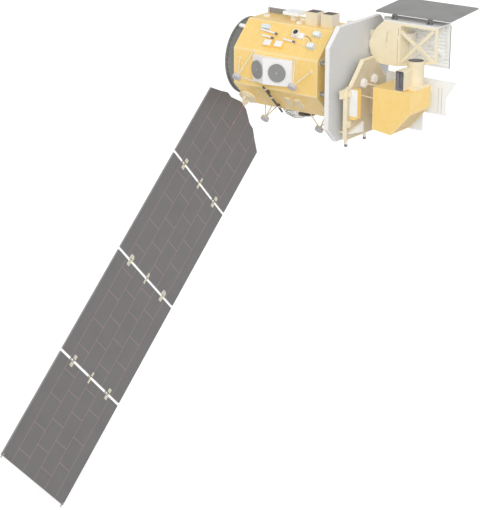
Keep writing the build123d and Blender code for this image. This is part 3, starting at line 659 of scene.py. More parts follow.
class Form:
    """A mesh under construction, gathered skin by skin."""

    def __init__(self, name: str) -> None:
        """Start an empty form.

        Args:
            name: Name of the finished piece.
        """
        self.name = name
        self.points: list[Array] = []
        self.faces: list[tuple[int, ...]] = []
        self.total = 0

    def skin(self, rings: Array, capped: bool = True, looped: bool = False) -> "Form":
        """Add a closed skin over rings of points, turned so that it faces outward.

        Formula: the volume is a sixth of the sum of the triple products of each
        face's fan of triangles; where it is below zero every face is turned.

        Args:
            rings: Points, (rings, around, 3); each ring is closed on itself.
            capped: Close the first and the last ring with flat faces.
            looped: Join the last ring back to the first instead.

        Returns:
            The form itself.
        """
        count, around = rings.shape[:2]
        index = np.arange(count * around).reshape(count, around)
        low = index if looped else index[:-1]
        high = np.roll(index, -1, 0) if looped else index[1:]
        quads = np.stack([low, np.roll(low, -1, 1), np.roll(high, -1, 1), high], -1).reshape(-1, 4)
        flat = rings.reshape(-1, 3)
        middle = flat.mean(0)
        p = flat - middle
        first = np.cross(p[quads[:, 0]], p[quads[:, 1]])
        second = np.cross(p[quads[:, 0]], p[quads[:, 2]])
        volume = np.sum(first * p[quads[:, 2]]) + np.sum(second * p[quads[:, 3]])
        caps: list[tuple[int, ...]] = []
        if capped and not looped:
            caps = [tuple(index[0][::-1].tolist()), tuple(index[-1].tolist())]
            for cap in caps:
                fan = p[list(cap)]
                volume += np.sum(np.cross(fan[1:-1], fan[2:]) @ fan[0])
        faces = [tuple(q) for q in quads.tolist()] + caps
        if volume < 0:
            faces = [face[::-1] for face in faces]
        self.faces += [tuple(i + self.total for i in face) for face in faces]
        self.points.append(flat)
        self.total += len(flat)
        return self

    def slab(self, where: Place, outline: Array, low: float, high: float, bevel: float = 0.0) -> "Form":
        """Add a slab between two heights, with its upper edge chamfered by the bevel."""
        rings = [at_height(outline, low), at_height(outline, high - bevel)]
        if bevel:
            rings.append(at_height(grown(outline, -bevel), high))
        return self.skin(where.put(np.stack(rings)))

    def brick(
        self, where: Place, width: float, height: float, low: float, high: float, bevel: float = 0.002
    ) -> "Form":
        """Add a block with softly rounded corners and a chamfered upper edge."""
        corner = min(0.12 * min(width, height), 0.006)
        return self.slab(
            where, rounded(width, height, corner, 3), low, high, min(bevel, corner, high - low)
        )

    def border(self, where: Place, outer: Array, inner: Array, low: float, high: float) -> "Form":
        """Add a frame between two outlines of as many corners, from a low to a high level."""
        rings = [
            at_height(outer, low), at_height(outer, high), at_height(inner, high), at_height(inner, low)
        ]
        return self.skin(where.put(np.stack(rings)), looped=True)

    def lathe(self, where: Place, profile: Sequence[tuple[float, float]], sides: int = 24) -> "Form":
        """Add a turned shape: each profile point is a radius and a height above the place."""
        circle = ring_points(1.0, sides)
        rings = np.stack([at_height(circle * max(radius, 1e-4), height) for radius, height in profile])
        return self.skin(where.put(rings))

    def annulus(
        self, where: Place, inner: float, outer: float, low: float, high: float, sides: int = 48
    ) -> "Form":
        """Add a flat ring between two radii and two heights."""
        return self.border(where, ring_points(outer, sides), ring_points(inner, sides), low, high)

    def rod(self, start: Sequence[float], end: Sequence[float], radius: float, sides: int = 10) -> "Form":
        """Add a straight round rod between two points."""
        a, b = np.array(start, float), np.array(end, float)
        run = b - a
        side = (0.0, 0.0, 1.0) if abs(run[2]) < 0.9 * np.linalg.norm(run) else (1.0, 0.0, 0.0)
        return self.lathe(
            place(a, run, np.cross(run, side)), [(radius, 0.0), (radius, float(np.linalg.norm(run)))], sides
        )

    def tube(self, path: Array, radius: float, sides: int = 8) -> "Form":
        """Add a round tube along a path.

        Formula: at each point the direction is the difference of its neighbours,
        and two square vectors across it carry a circle of the radius.

        Args:
            path: Points in space, (n, 3).
            radius: Its radius.
            sides: Sides of its cross-section.

        Returns:
            The form itself.
        """
        pts = np.asarray(path, float)
        run = np.gradient(pts, axis=0)
        run /= np.linalg.norm(run, axis=1, keepdims=True)
        lead = np.array([0.31, 0.53, 0.79])
        a = np.cross(run, lead)
        a /= np.linalg.norm(a, axis=1, keepdims=True)
        b = np.cross(run, a)
        circle = ring_points(radius, sides)
        rings = pts[:, None, :] + circle[None, :, :1] * a[:, None, :] + circle[None, :, 1:] * b[:, None, :]
        return self.skin(rings)

    def make(self, sharp: float = 32.0) -> bpy.types.Object:
        """Finish the form as an object at the origin.

        Args:
            sharp: Edges that turn by more than this many degrees stay sharp.

        Returns:
            The new object.
        """
        mesh = bpy.data.meshes.new(self.name)
        mesh.from_pydata(np.concatenate(self.points).tolist(), [], self.faces)
        mesh.polygons.foreach_set("use_smooth", np.ones(len(self.faces), bool))
        mesh.update()
        mesh.set_sharp_from_angle(angle=math.radians(sharp))
        made = bpy.data.objects.new(self.name, mesh)
        bpy.context.scene.collection.objects.link(made)
        return made


class Wardrobe:
    """Keeps one material per finish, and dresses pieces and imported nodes."""

    def __init__(self) -> None:
        """Start with no material made."""
        self.made: dict[str, bpy.types.Material] = {}

    def material(self, name: str) -> bpy.types.Material:
        """The material of a named finish, made on first use."""
        if name not in self.made:
            self.made[name] = FINISHES[name].build()
        return self.made[name]

    def dress(self, node: str, finish: str) -> None:
        """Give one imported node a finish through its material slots."""
        piece = frame["nodes"][node]
        if not piece.material_slots:
            piece.data.materials.append(None)
        for slot in piece.material_slots:
            slot.material = self.material(finish)


@dataclass
class Assembly:
    """A group of pieces that a wardrobe dresses and a body carries."""

    wardrobe: Wardrobe
    body: str = "spacecraft"

    def finish(
        self, form: Form, finish: str, slot: str, body: str = "", *replaced: str
    ) -> bpy.types.Object:
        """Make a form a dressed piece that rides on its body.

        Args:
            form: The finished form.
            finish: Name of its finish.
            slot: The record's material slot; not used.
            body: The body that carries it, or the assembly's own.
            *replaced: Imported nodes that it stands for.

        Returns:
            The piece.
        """
        piece = form.make()
        piece.data.materials.append(self.wardrobe.material(finish))
        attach(piece, body or self.body)
        if replaced:
            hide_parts(*replaced)
        log.info("%s: %d faces on %s", piece.name, len(form.faces), body or self.body)
        return piece

    def build(self) -> None:
        """Make every piece of the assembly."""
        raise NotImplementedError


# ------------------------------------------------------------------ bus
BUS_FRONT = 2.55                # front face of the bus along its axis
DECK = 2.895                    # back of the instrument deck along the bus


@dataclass
class BusTrim(Assembly):
    """Tapes, seams and buttons of the gold film round the bus."""

    back: float = 0.32
    front: float = 2.55
    apothem: float = 0.96
    tape: float = 0.030
    lift: float = 0.0015
    seams: tuple[float, ...] = (0.88, 1.44, 2.0)
    seam_width: float = 0.016
    button: float = 0.011

    def edge_tapes(self) -> None:
        """Tape over each long corner.

        Formula: the section runs one tape's half width down each facet from the
        corner, at the lift and just under the skin, and is carried along the bus.
        """
        form = Form("bus_edge_tapes")
        half = self.apothem * math.tan(math.radians(22.5))
        for number in range(8):
            a, b = 45.0 * number, 45.0 * (number + 1)
            upper = [on_facet(a, 0.0, half - self.tape, self.lift), on_facet(a, 0.0, half, self.lift)]
            lower = [on_facet(b, 0.0, -half, self.lift), on_facet(b, 0.0, self.tape - half, self.lift)]
            outer = [upper[0].origin, (upper[1].origin + lower[0].origin) / 2, lower[1].origin]
            inner = [point - 0.004 * point / np.linalg.norm(point) for point in outer[::-1]]
            section = np.array(outer + inner)
            ends = np.array([self.back - self.lift, self.front + self.lift])
            rings = section[None, :, :] + ends[:, None, None] * np.array([1.0, 0.0, 0.0])
            form.skin(rings)
        self.finish(form, "gold_tape", "gold_film")

    def end_bands(self) -> None:
        """Folded edge of the film round both ends, as two eight-sided frames."""
        form = Form("bus_end_bands")
        outline = ring_points(self.apothem / math.cos(math.pi / 8), 8, math.pi / 8)
        outer, inner = grown(outline, 0.002), grown(outline, -0.028)
        tail = place((self.back, 0, 0), (-1, 0, 0), (0, 1, 0))
        nose = place((self.front, 0, 0), (1, 0, 0), (0, 1, 0))
        form.border(tail, outer, inner, -0.022, 0.002)
        form.border(nose, outer, inner, -0.022, 0.002)
        self.finish(form, "gold_tape", "gold_film")

    def skin_seams(self) -> None:
        """Low tapes across each facet where two sheets of film meet."""
        form = Form("bus_seams")
        span = 2 * self.apothem * math.tan(math.radians(22.5)) - 2 * self.tape
        for number in range(8):
            for x in self.seams:
                form.slab(
                    on_facet(45.0 * number, x), rounded(self.seam_width, span, 0.004, 2), -0.001, 0.0012,
                    0.0006,
                )
        self.finish(form, "gold_tape", "gold_film")

    def buttons(self) -> None:
        """Small pressed buttons that hold the film, two rows on each facet."""
        form = Form("bus_buttons")
        profile = [(self.button, -0.001), (self.button, 0.0014), (0.6 * self.button, 0.003), (0.0, 0.0036)]
        for number in range(8):
            for x in np.linspace(self.back + 0.12, self.front - 0.12, 8):
                for y in (-0.30, 0.30):
                    form.lathe(on_facet(45.0 * number, float(x), y), profile, 10)
        self.finish(form, "gold_tape", "gold_film")

    def build(self) -> None:
        """Make every piece of the bus's trim."""
        self.edge_tapes()
        self.end_bands()
        self.skin_seams()
        self.buttons()


@dataclass
class RingTrim(Assembly):
    """Bolts and rivets of the adapter ring."""

    radius: float = 0.849
    flange: float = 0.04
    bolt_circle: float = 0.855
    bolts: int = 48

    def build(self) -> None:
        """Make a row of bolt heads on the flange and two rows of rivets on the drum."""
        form = Form("ring_bolts")
        for angle in np.arange(self.bolts) * 2 * math.pi / self.bolts:
            spot = (self.flange, self.bolt_circle * math.cos(angle), self.bolt_circle * math.sin(angle))
            form.lathe(
                place(spot, (1, 0, 0), (0, 1, 0)), [(0.0075, -0.002), (0.0075, 0.009), (0.005, 0.011)], 6
            )
            out = np.array([0.0, math.cos(angle), math.sin(angle)])
            for x in (0.09, 0.29):
                rivet = place(out * self.radius + np.array([x, 0, 0]), out, (1, 0, 0))
                form.lathe(rivet, [(0.006, -0.002), (0.005, 0.002), (0.0, 0.003)], 8)
        self.finish(form, "bare_metal", "bare_metal")


@dataclass
class Trackers(Assembly):
    """Dark insides, vanes and cover plates of the two tracker baffles."""

    set_backs: tuple[float, float] = (1.035, 0.634)
    y: float = -0.08
    width: float = 0.290
    depth: float = 0.293
    height: float = 0.285
    wall: float = 0.012
    floor: float = 0.040

    def build(self) -> None:
        """Make the liners, vanes, lenses, rims and side plates."""
        lining, rims, plates, lenses = Form("tracker_linings"), Form("tracker_rims"), Form("tracker_plates"), Form("tracker_lenses")
        for set_back in self.set_backs:
            base = place((DECK - set_back, self.y, 0.96), (0, 0, 1), (1, 0, 0))
            hole = rounded(
                self.width - 2 * self.wall - 0.0006, self.depth - 2 * self.wall - 0.0006, 0.002, 2
            )
            lining.border(base, hole, grown(hole, -0.003), self.floor + 0.0005, self.height - 0.004)
            lining.slab(base, grown(hole, -0.0035), self.floor + 0.0004, self.floor + 0.003)
            for level in (0.11, 0.19):
                lining.border(base, grown(hole, -0.0034), grown(hole, -0.028), level, level + 0.003)
            dome = [(0.055, 0.003), (0.055, 0.03), (0.045, 0.045), (0.025, 0.053), (0.0, 0.056)]
            lenses.lathe(base.moved(z=self.floor), dome, 24)
            edge = rounded(self.width, self.depth, 0.004, 2)
            rims.border(
                base, grown(edge, 0.0015), grown(hole, 0.002), self.height - 0.012, self.height + 0.002
            )
            front = place(
                (DECK - set_back + self.width / 2, self.y, 0.96 + self.height / 2), (1, 0, 0), (0, 1, 0)
            )
            plates.brick(front, self.depth - 0.02, self.height - 0.03, -0.001, 0.0025, 0.001)
        self.finish(lining, "dark_mouth", "black_paint")
        self.finish(rims, "tan_paint", "tan_paint")
        self.finish(plates, "pale_plate", "white_paint")
        self.finish(lenses, "black_paint", "black_paint")


@dataclass
class SideHousing(Assembly):
    """Rims and middles of the two discs, and the edge strips of their housing."""

    edges: tuple[float, float] = (2.027, 0.985)
    ridge: float = 1.640
    stand: float = 0.045
    rise: float = 0.195
    share: float = 0.5
    low: float = -0.255
    high: float = 0.330
    height: float = 0.030
    thickness: float = 0.036
    radius: float = 0.198

    def slope(self, edge: float) -> Place:
        """Place at a disc's middle on the slope that starts at a set back."""
        side = -1.0 if edge > self.ridge else 1.0
        run = abs(edge - self.ridge)
        climb = self.rise - self.stand
        middle = (
            DECK - edge - self.share * (self.ridge - edge), -0.96 - self.stand - self.share * climb,
            self.height,
        )
        return place(middle, (side * climb, -run, 0.0), (0, 0, 1))

    def build(self) -> None:
        """Make rims, rings and middles."""
        rims, dots = Form("disc_rims"), Form("disc_middles")
        for edge in self.edges:
            disc = self.slope(edge).moved(z=self.thickness)
            rims.annulus(disc, self.radius - 0.010, self.radius + 0.002, -0.02, 0.003, 64)
            rims.annulus(disc, 0.088, 0.094, -0.002, 0.0015, 48)
            dots.lathe(disc, [(0.010, -0.001), (0.010, 0.004), (0.007, 0.006), (0.0, 0.007)], 16)
        self.finish(rims, "dark_panel", "dark_panel")
        self.finish(dots, "white_paint", "white_paint")
        strips = Form("housing_strips")
        spot = (DECK - self.ridge, -0.96 - self.rise, (self.low + self.high) / 2)
        strips.brick(
            place(spot, (0, -1, 0), (0, 0, 1)), self.high - self.low - 0.02, 0.016, -0.004, 0.0012, 0.0006
        )
        self.finish(strips, "white_paint", "white_paint")


@dataclass
class FacetGear(Assembly):
    """Dark tips, grooves, lids and leads of the units on the upper facet."""

    boxes: tuple[tuple[float, float], ...] = ((0.625, 0.210), (0.635, -0.095))
    gold: tuple[tuple[float, float], ...] = ((1.735, -0.185), (1.447, -0.175))
    camera: tuple[float, float] = (1.100, 0.130)
    camera_top: float = 0.180
    bore: float = 0.060
    bore_depth: float = 0.090
    rod_lift: float = 0.045
    rod_ends: tuple[tuple[float, ...], ...] = (
        (2.098, 0.137, 1.635, 0.079), (1.995, -0.006, 1.683, -0.035), (1.424, -0.018, 1.106, -0.044),
    )

    def at(self, set_back: float, y: float, lift: float = 0.0) -> Place:
        """Place on the upper facet at a set back from the deck."""
        return on_facet(Facet.UPPER.value, DECK - set_back, y, lift)

    def camera_mouth(self) -> None:
        """Dark lining of the star camera's bore, its vane and lens, and the lead to its foot."""
        form = Form("camera_lining")
        floor = self.at(*self.camera, self.camera_top - self.bore_depth)
        form.annulus(floor, self.bore - 0.003, self.bore - 0.0004, 0.0004, self.bore_depth - 0.001, 32)
        form.lathe(floor, [(self.bore - 0.0035, 0.0004), (self.bore - 0.0035, 0.003)], 32)
        form.annulus(floor, self.bore - 0.020, self.bore - 0.0034, 0.045, 0.047, 32)
        form.lathe(floor, [(0.032, 0.002), (0.032, 0.014), (0.020, 0.022), (0.0, 0.025)], 24)
        path = ((0.99, 0.150), (0.90, 0.165), (0.80, 0.120), (0.74, 0.060))
        form.tube(np.array([self.at(back, y, 0.010).origin for back, y in path]), 0.007)
        self.finish(form, "black_paint", "black_paint")

    def build(self) -> None:
        """Make grooves on the white boxes, lids on the gold ones, rod tips and leads."""
        lids, grooves, sleeves = Form("gold_box_lids"), Form("white_box_ribs"), Form("rod_sleeves")
        tips, leads = Form("rod_tips"), Form("facet_leads")
        for set_back, y in self.gold:
            lids.brick(self.at(set_back, y, 0.085), 0.185, 0.140, -0.001, 0.006, 0.003)
        for set_back, y in self.boxes:
            for step in (-0.055, 0.0, 0.055):
                grooves.brick(self.at(set_back + step, y, 0.120), 0.024, 0.100, -0.001, 0.009, 0.003)
        for back, low, ahead, high in self.rod_ends:
            start, end = self.at(back, low, self.rod_lift).origin, self.at(ahead, high, self.rod_lift).origin
            run = (end - start) / np.linalg.norm(end - start)
            sleeves.rod(start + 0.02 * run, end - 0.05 * run, 0.0215, 16)
            tips.rod(end - 0.050 * run, end + 0.006 * run, 0.0225, 16)
        for path in (
            ((0.937, 0.115), (0.88, 0.09), (0.83, 0.03), (0.735, -0.05)),
            ((1.124, -0.036), (1.05, -0.06), (0.9, -0.09), (0.74, -0.10)),
            ((1.66, 0.075), (1.6, 0.02), (1.56, -0.08), (1.53, -0.17)),
        ):
            spots = np.array([self.at(back, y, 0.008).origin for back, y in path])
            share = np.linspace(0, 1, 13)
            knots = np.linspace(0, 1, len(path))
            smooth = np.stack([np.interp(share, knots, spots[:, axis]) for axis in range(3)], -1)
            leads.tube(smooth, 0.007)
        self.finish(lids, "white_paint", "white_paint")
        # the white boxes take the greyer copy of white as painted shade
        self.wardrobe.dress("upper_boxes", "box_white_shaded")
        self.wardrobe.dress("patch_antenna", "radiator_white")
        self.wardrobe.dress("mast", "banded_mast")
        self.finish(grooves, "radiator_white", "white_paint")
        self.wardrobe.dress("feed_rods", "white_paint")
        self.camera_mouth()
        self.finish(sleeves, "white_paint", "white_paint")
        self.finish(tips, "black_paint", "black_paint")
        self.finish(leads, "tan_paint", "tan_paint")


@dataclass
class BasketTrim(Assembly):
    """Fine wires between the hoops and ribs of the basket."""

    centre: Triple = (1.100, 0.421, -0.969)
    radius: float = 0.400
    wire: float = 0.0035
    hoops: tuple[float, ...] = (8.0, 16.0, 32.0, 39.0, 53.0, 60.0)
    ribs: int = 12
    lowest: float = 68.0

    def spot(self, spin: Array | float, drop: Array | float) -> Array:
        """Points of the bowl at a turn about its axis and an angle below its rim."""
        spin, drop = np.broadcast_arrays(np.asarray(spin, float), np.asarray(drop, float))
        out = np.cos(drop)
        return np.array(self.centre) + self.radius * np.stack(
            [out * np.cos(spin), out * np.sin(spin), -np.sin(drop)], -1
        )

    def build(self) -> None:
        """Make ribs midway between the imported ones, and hoops between its hoops."""
        wires = Form("basket_wires")
        for number in range(self.ribs):
            spin = 2 * math.pi * number / self.ribs
            wires.tube(self.spot(spin, np.radians(np.linspace(0.5, self.lowest, 9))), self.wire, 6)
        for angle in self.hoops:
            out = self.radius * math.cos(math.radians(angle))
            level = self.centre[2] - self.radius * math.sin(math.radians(angle))
            ring = place((self.centre[0], self.centre[1], level), (0, 0, 1), (1, 0, 0))
            wires.annulus(ring, out - self.wire, out + self.wire, -self.wire, self.wire, 48)
        self.finish(wires, "bare_metal", "bare_metal")


# ------------------------------------------------------------------ wing
FOOT = np.array([0.449, -0.608819, -0.748826])
WING_OUT = np.array([0.0, -0.74489406, -0.66718277])
WING_UP = np.array([0.0, -0.66718277, 0.74489406])


def on_wing(reach: float, cross: float, face: float = 1.0, lift: float = 0.0) -> Place:
    """Place on a face of the open wing: across runs out along it and up runs across it.

    Formula: the foot plus reach along the wing, cross across it, and half a
    panel's thickness and the lift towards the face.

    Args:
        reach: Distance out along the wing.
        cross: Distance across it from its middle line.
        face: 1 for the face towards the deck, -1 for the other.
        lift: Height above the face.

    Returns:
        The place.
    """
    origin = FOOT + reach * WING_OUT + cross * WING_UP + np.array([face * (0.02 + lift), 0, 0])
    return place(origin, (face, 0, 0), tuple(WING_OUT))


@dataclass
class Wing(Assembly):
    """Cells, hinge plates, leads, edge strips and corner tabs of the folding wing."""

    starts: tuple[float, ...] = (0.695, 2.430, 4.914, 7.398)
    ends: tuple[float, ...] = (2.366, 4.850, 7.334, 9.818)
    half: float = 1.249
    hinge_cross: tuple[float, ...] = (-0.76, 0.0, 0.76)

    def edge_strips(self) -> None:
        """Thin bright strips over the long edges and the square ends of each panel."""
        for number, (start, end) in enumerate(zip(self.starts, self.ends), 1):
            form = Form(f"panel_{number}_edges")
            middle = (start + end) / 2
            for side in (-1, 1):
                edge = place(
                    FOOT + middle * WING_OUT + side * self.half * WING_UP, tuple(side * WING_UP), tuple(WING_OUT)
                )
                form.brick(edge, end - start - 0.004, 0.036, -0.001, 0.0015, 0.0007)
            tail = place(FOOT + end * WING_OUT, tuple(WING_OUT), tuple(WING_UP))
            form.brick(tail, 2 * self.half - 0.01, 0.036, -0.001, 0.0015, 0.0007)
            self.finish(form, "dark_panel", "dark_panel", f"wing_panel_{number}")

    def hinge_plates(self) -> None:
        """Doublers beside each fold line, on the face towards the deck, and their bosses."""
        for number in range(1, 5):
            plates, bosses = Form(f"panel_{number}_doublers"), Form(f"panel_{number}_bosses")
            reaches = []
            if number > 1:
                reaches.append(self.starts[number - 1] + 0.052)
            if number < 4:
                reaches.append(self.ends[number - 1] - 0.052)
            for reach in reaches:
                inward = 1.0 if reach < (self.starts[number - 1] + self.ends[number - 1]) / 2 else -1.0
                for cross in self.hinge_cross:
                    size = 0.060 if cross == 0 else 0.105
                    plates.brick(on_wing(reach, cross), 0.088, size, -0.001, 0.0035, 0.001)
                    near = on_wing(reach - inward * 0.034, cross + (0.0 if cross == 0 else -0.03))
                    bosses.brick(near, 0.022, 0.040, 0.0, 0.0065, 0.002)
            self.finish(plates, "hinge_pale", "pad_grey", f"wing_panel_{number}")
            self.finish(bosses, "gold_film", "pad_grey", f"wing_panel_{number}")

    def corner_tabs(self) -> None:
        """Pale tabs at the wing's two outer corners."""
        form = Form("wing_corner_tabs")
        for side in (-1, 1):
            form.brick(on_wing(9.84, side * 1.225, -1.0, -0.02), 0.075, 0.034, -0.008, 0.008, 0.002)
            form.brick(on_wing(9.79, side * 1.215), 0.030, 0.030, -0.001, 0.004, 0.001)
        self.finish(form, "lead_grey", "pad_grey", "wing_panel_4")

    def root_lead(self) -> None:
        """Lead from the yoke up the middle of the inner panel, with a small joint block."""
        form = Form("wing_root_lead")
        reach = np.linspace(0.275, 0.93, 24)
        cross = 0.006 * np.sin(9.0 * reach) + 0.01
        path = FOOT + reach[:, None] * WING_OUT + cross[:, None] * WING_UP + np.array([0.0245, 0, 0])
        form.tube(path, 0.0045)
        form.brick(on_wing(0.748, 0.014), 0.050, 0.034, -0.001, 0.008, 0.003)
        self.finish(form, "red_lead", "pad_grey", "wing_panel_1")

    def build(self) -> None:
        """Dress the panels with their cells and make their trim."""
        for number in range(2, 5):
            self.wardrobe.dress(f"panel_{number}", f"cells_panel_{number}")
            for side in ("inner", "outer"):
                self.wardrobe.dress(f"fold_{number - 1}_{side}_hinges", "hinge_pale")
        self.edge_strips()
        self.hinge_plates()
        self.corner_tabs()
        self.root_lead()


@dataclass
class StowGear(Assembly):
    """Caps of the stow pads, feet of their tripods and bolts of the wing's drive."""

    reach: float = 0.132
    drive_top: float = 0.058
    pads: tuple[tuple[float, float], ...] = (
        (0.176, 0.874), (1.663, 0.874), (0.176, -0.703), (1.663, -0.703)
    )
    side_feet: tuple[tuple[float, float], ...] = (
        (2.022, 0.398), (2.410, 0.177), (2.022, -0.290), (0.931, 0.370), (0.510, 0.148), (0.931, -0.211),
    )
    under_feet: tuple[tuple[float, float], ...] = (
        (2.410, 0.0), (2.190, 0.060), (1.880, -0.250), (0.510, 0.0), (0.730, 0.060), (1.040, -0.250),
    )

    def build(self) -> None:
        """Make the caps, the feet and the drive's bolts and rings."""
        caps, feet, drive = Form("stow_pad_caps"), Form("tripod_feet"), Form("drive_rings")
        for x, y in self.pads:
            origin = FOOT + np.array([x, 0, 0]) + y * WING_UP + self.reach * WING_OUT
            pad = place(origin, tuple(WING_OUT), (1, 0, 0))
            caps.annulus(pad, 0.060, 0.090, -0.001, 0.004, 40)
            caps.lathe(pad, [(0.022, -0.001), (0.022, 0.004), (0.012, 0.005)], 6)
        foot = [(0.036, -0.001), (0.036, 0.006), (0.020, 0.016), (0.0165, 0.03)]
        for set_back, z in self.side_feet:
            feet.lathe(place((DECK - set_back, -0.96, z), (0, -1, 0), (1, 0, 0)), foot, 16)
        for set_back, y in self.under_feet:
            feet.lathe(place((DECK - set_back, y, -0.96), (0, 0, -1), (1, 0, 0)), foot, 16)
        hub = place(FOOT + self.drive_top * WING_OUT, tuple(WING_OUT), (1, 0, 0))
        drive.annulus(hub, 0.160, 0.192, -0.001, 0.004, 64)
        bolt = [(0.006, -0.001), (0.006, 0.006), (0.004, 0.008)]
        for x, y in ring_points(0.176, 16):
            drive.lathe(hub.moved(float(x), float(y), 0.004), bolt, 6)
        self.wardrobe.dress("stow_pads", "stow_pad")
        self.finish(caps, "stow_pad", "pad_grey")
        self.finish(feet, "tan_paint", "tan_paint")
        self.finish(drive, "tan_paint", "tan_paint")


# ------------------------------------------------------------------ deck and equipment panel
@dataclass
class DeckTrim(Assembly):
    """White rim of the instrument deck and its row of inserts."""

    half_width: float = 1.175
    top: float = 1.172
    bottom: float = 1.318
    top_corner: float = 0.388
    bottom_corner: float = 0.324
    thickness: float = 0.096

    def outline(self) -> Array:
        """Eight corners of the deck, from its mirrored half."""
        w, t, b = self.half_width, self.top, -self.bottom
        right = [
            (w - self.bottom_corner, b), (w, b + self.bottom_corner), (w, t - self.top_corner),
            (w - self.top_corner, t),
        ]
        return np.array(right + [(-y, z) for y, z in right[::-1]])

    def build(self) -> None:
        """Make the rim as a band round the plate, and inserts near its edge."""
        face = place((DECK, 0, 0), (1, 0, 0), (0, 1, 0))
        rim, inserts = Form("deck_rim"), Form("deck_inserts")
        outline = self.outline()
        rim.border(face, grown(outline, 0.003), grown(outline, -0.012), -0.002, self.thickness + 0.002)
        inner = grown(outline, -0.05)
        ends = np.roll(inner, -1, 0)
        for a, b in zip(inner, ends):
            count = max(2, int(np.linalg.norm(b - a) / 0.16))
            for share in (np.arange(count) + 0.5) / count:
                spot = a + share * (b - a)
                inserts.lathe(
                    face.moved(float(spot[0]), float(spot[1]), self.thickness),
                    [(0.009, -0.001), (0.009, 0.0012), (0.005, 0.002)], 8,
                )
        self.finish(rim, "white_paint", "white_paint")
        self.finish(inserts, "white_paint", "bare_metal")
        struts = Form("deck_side_struts")
        for side in (-1, 1):
            foot, head = (BUS_FRONT - 0.02, side * 0.831, 0.351), (DECK + 0.01, side * 1.087, 0.607)
            struts.rod(foot, head, 0.024, 16)
        self.finish(struts, "lead_grey", "bare_metal")


@dataclass
class EquipmentTrim(Assembly):
    """Taupe face of the equipment panel and the fittings on it."""

    front: float = DECK + 0.340
    locker_side: float = -0.715
    covers: tuple[tuple[float, float], ...] = ((-0.785, -0.235), (-0.785, -0.900))
    half_outline: tuple[tuple[float, float], ...] = (
        (0.205, 0.385), (0.650, -0.100), (0.840, -0.140), (0.840, -1.255),
    )

    def build(self) -> None:
        """Make the face sheet, hex caps, joining rods, the locker's end plate and side covers."""
        face = place((self.front, 0, 0), (1, 0, 0), (0, 1, 0))
        outline = np.array(self.half_outline + tuple((-y, z) for y, z in self.half_outline[::-1]))
        sheet, caps, rods = Form("equipment_face"), Form("hex_caps"), Form("equipment_rods")
        sheet.slab(face, grown(outline, -0.018), -0.001, 0.0025, 0.001)
        for y, z in ((-0.230, -0.110), (0.180, -0.095)):
            hexagon = ring_points(0.094, 6, math.pi / 6)
            caps.slab(face.moved(y, z, 0.060), hexagon, -0.001, 0.010, 0.006)
        rods.rod((self.front - 0.002, -0.140, -0.136), (DECK + 0.709, -0.106, -0.150), 0.016, 12)
        rods.rod((self.front - 0.002, -0.330, -0.350), (DECK + 0.709, -0.330, -0.375), 0.013, 12)
        plate, covers = Form("locker_end_plate"), Form("panel_side_covers")
        end = place((self.front + 0.095, self.locker_side, -0.437), (0, -1, 0), (1, 0, 0))
        plate.brick(end, 0.190, 0.586, -0.001, 0.014, 0.003)
        for y, z in self.covers:
            covers.slab(face.moved(y, z), rounded(0.110, 0.140, 0.018), -0.001, 0.050, 0.005)
        self.wardrobe.dress("locker", "gold_film")
        self.finish(plate, "white_paint", "white_paint")
        self.finish(covers, "tan_paint", "tan_paint")
        self.wardrobe.dress("imager_pedestal", "pedestal_film")
        self.wardrobe.dress("deck_feet", "foot_coat")
        self.finish(sheet, "taupe_film", "tan_film")
        self.finish(caps, "white_paint", "white_paint")
        self.finish(rods, "tan_paint", "tan_paint")


# ------------------------------------------------------------------ imager, tower and telescope
@dataclass
class ImagerTrim(Assembly):
    """Slanted sheet with its stripes, and edge tapes of the imager."""

    left: float = -0.386
    right: float = 0.394
    outline: tuple[tuple[float, float], ...] = (
        (0.707, -0.110), (1.652, -0.110), (1.652, -0.545), (1.167, -1.095), (0.707, -1.040),
    )

    def slant(self) -> tuple[Place, float]:
        """Middle of the slanted underside, across running up along it, and its length.

        Formula: the run is the difference of the slant's two ends in the outline,
        and the outward direction is square to it.
        """
        (front, top), (back, low) = self.outline[2:4]
        middle = (DECK + (front + back) / 2, (self.left + self.right) / 2, (top + low) / 2)
        run = (front - back, 0.0, top - low)
        return place(middle, (run[2], 0.0, -run[0]), run), math.hypot(run[0], run[2])

    def build(self) -> None:
        """Make the framed sheet on the slanted underside, in a darker gold as painted shade, and the tapes on
        the left face's edges.
        """
        slant, length = self.slant()
        width = self.right - self.left
        hole = rounded(length - 0.12, width - 0.12, 0.002, 2)
        sheet, stripes = Form("imager_slant_sheet"), Form("imager_slant_stripes")
        sheet.slab(slant, hole, -0.001, 0.002)
        stripes.border(slant, grown(hole, 0.020), hole, -0.001, 0.006)
        for share in (-0.3, -0.1, 0.1, 0.3):
            stripes.brick(slant.moved(0.0, share * width), length - 0.14, 0.010, 0.001, 0.006, 0.002)
        self.finish(stripes, "gold_tape", "gold_film")
        # the sheet on the downward slant takes the darker gold as painted shade
        self.finish(sheet, "shaded_underside_gold", "gold_film")
        tapes = Form("imager_edge_tapes")
        side = place((DECK, self.left, 0), (0, -1, 0), (1, 0, 0))
        flat = np.array(self.outline)
        tapes.border(side, grown(flat, 0.0012), grown(flat, -0.016), -0.001, 0.0015)
        self.finish(tapes, "gold_tape", "gold_film")


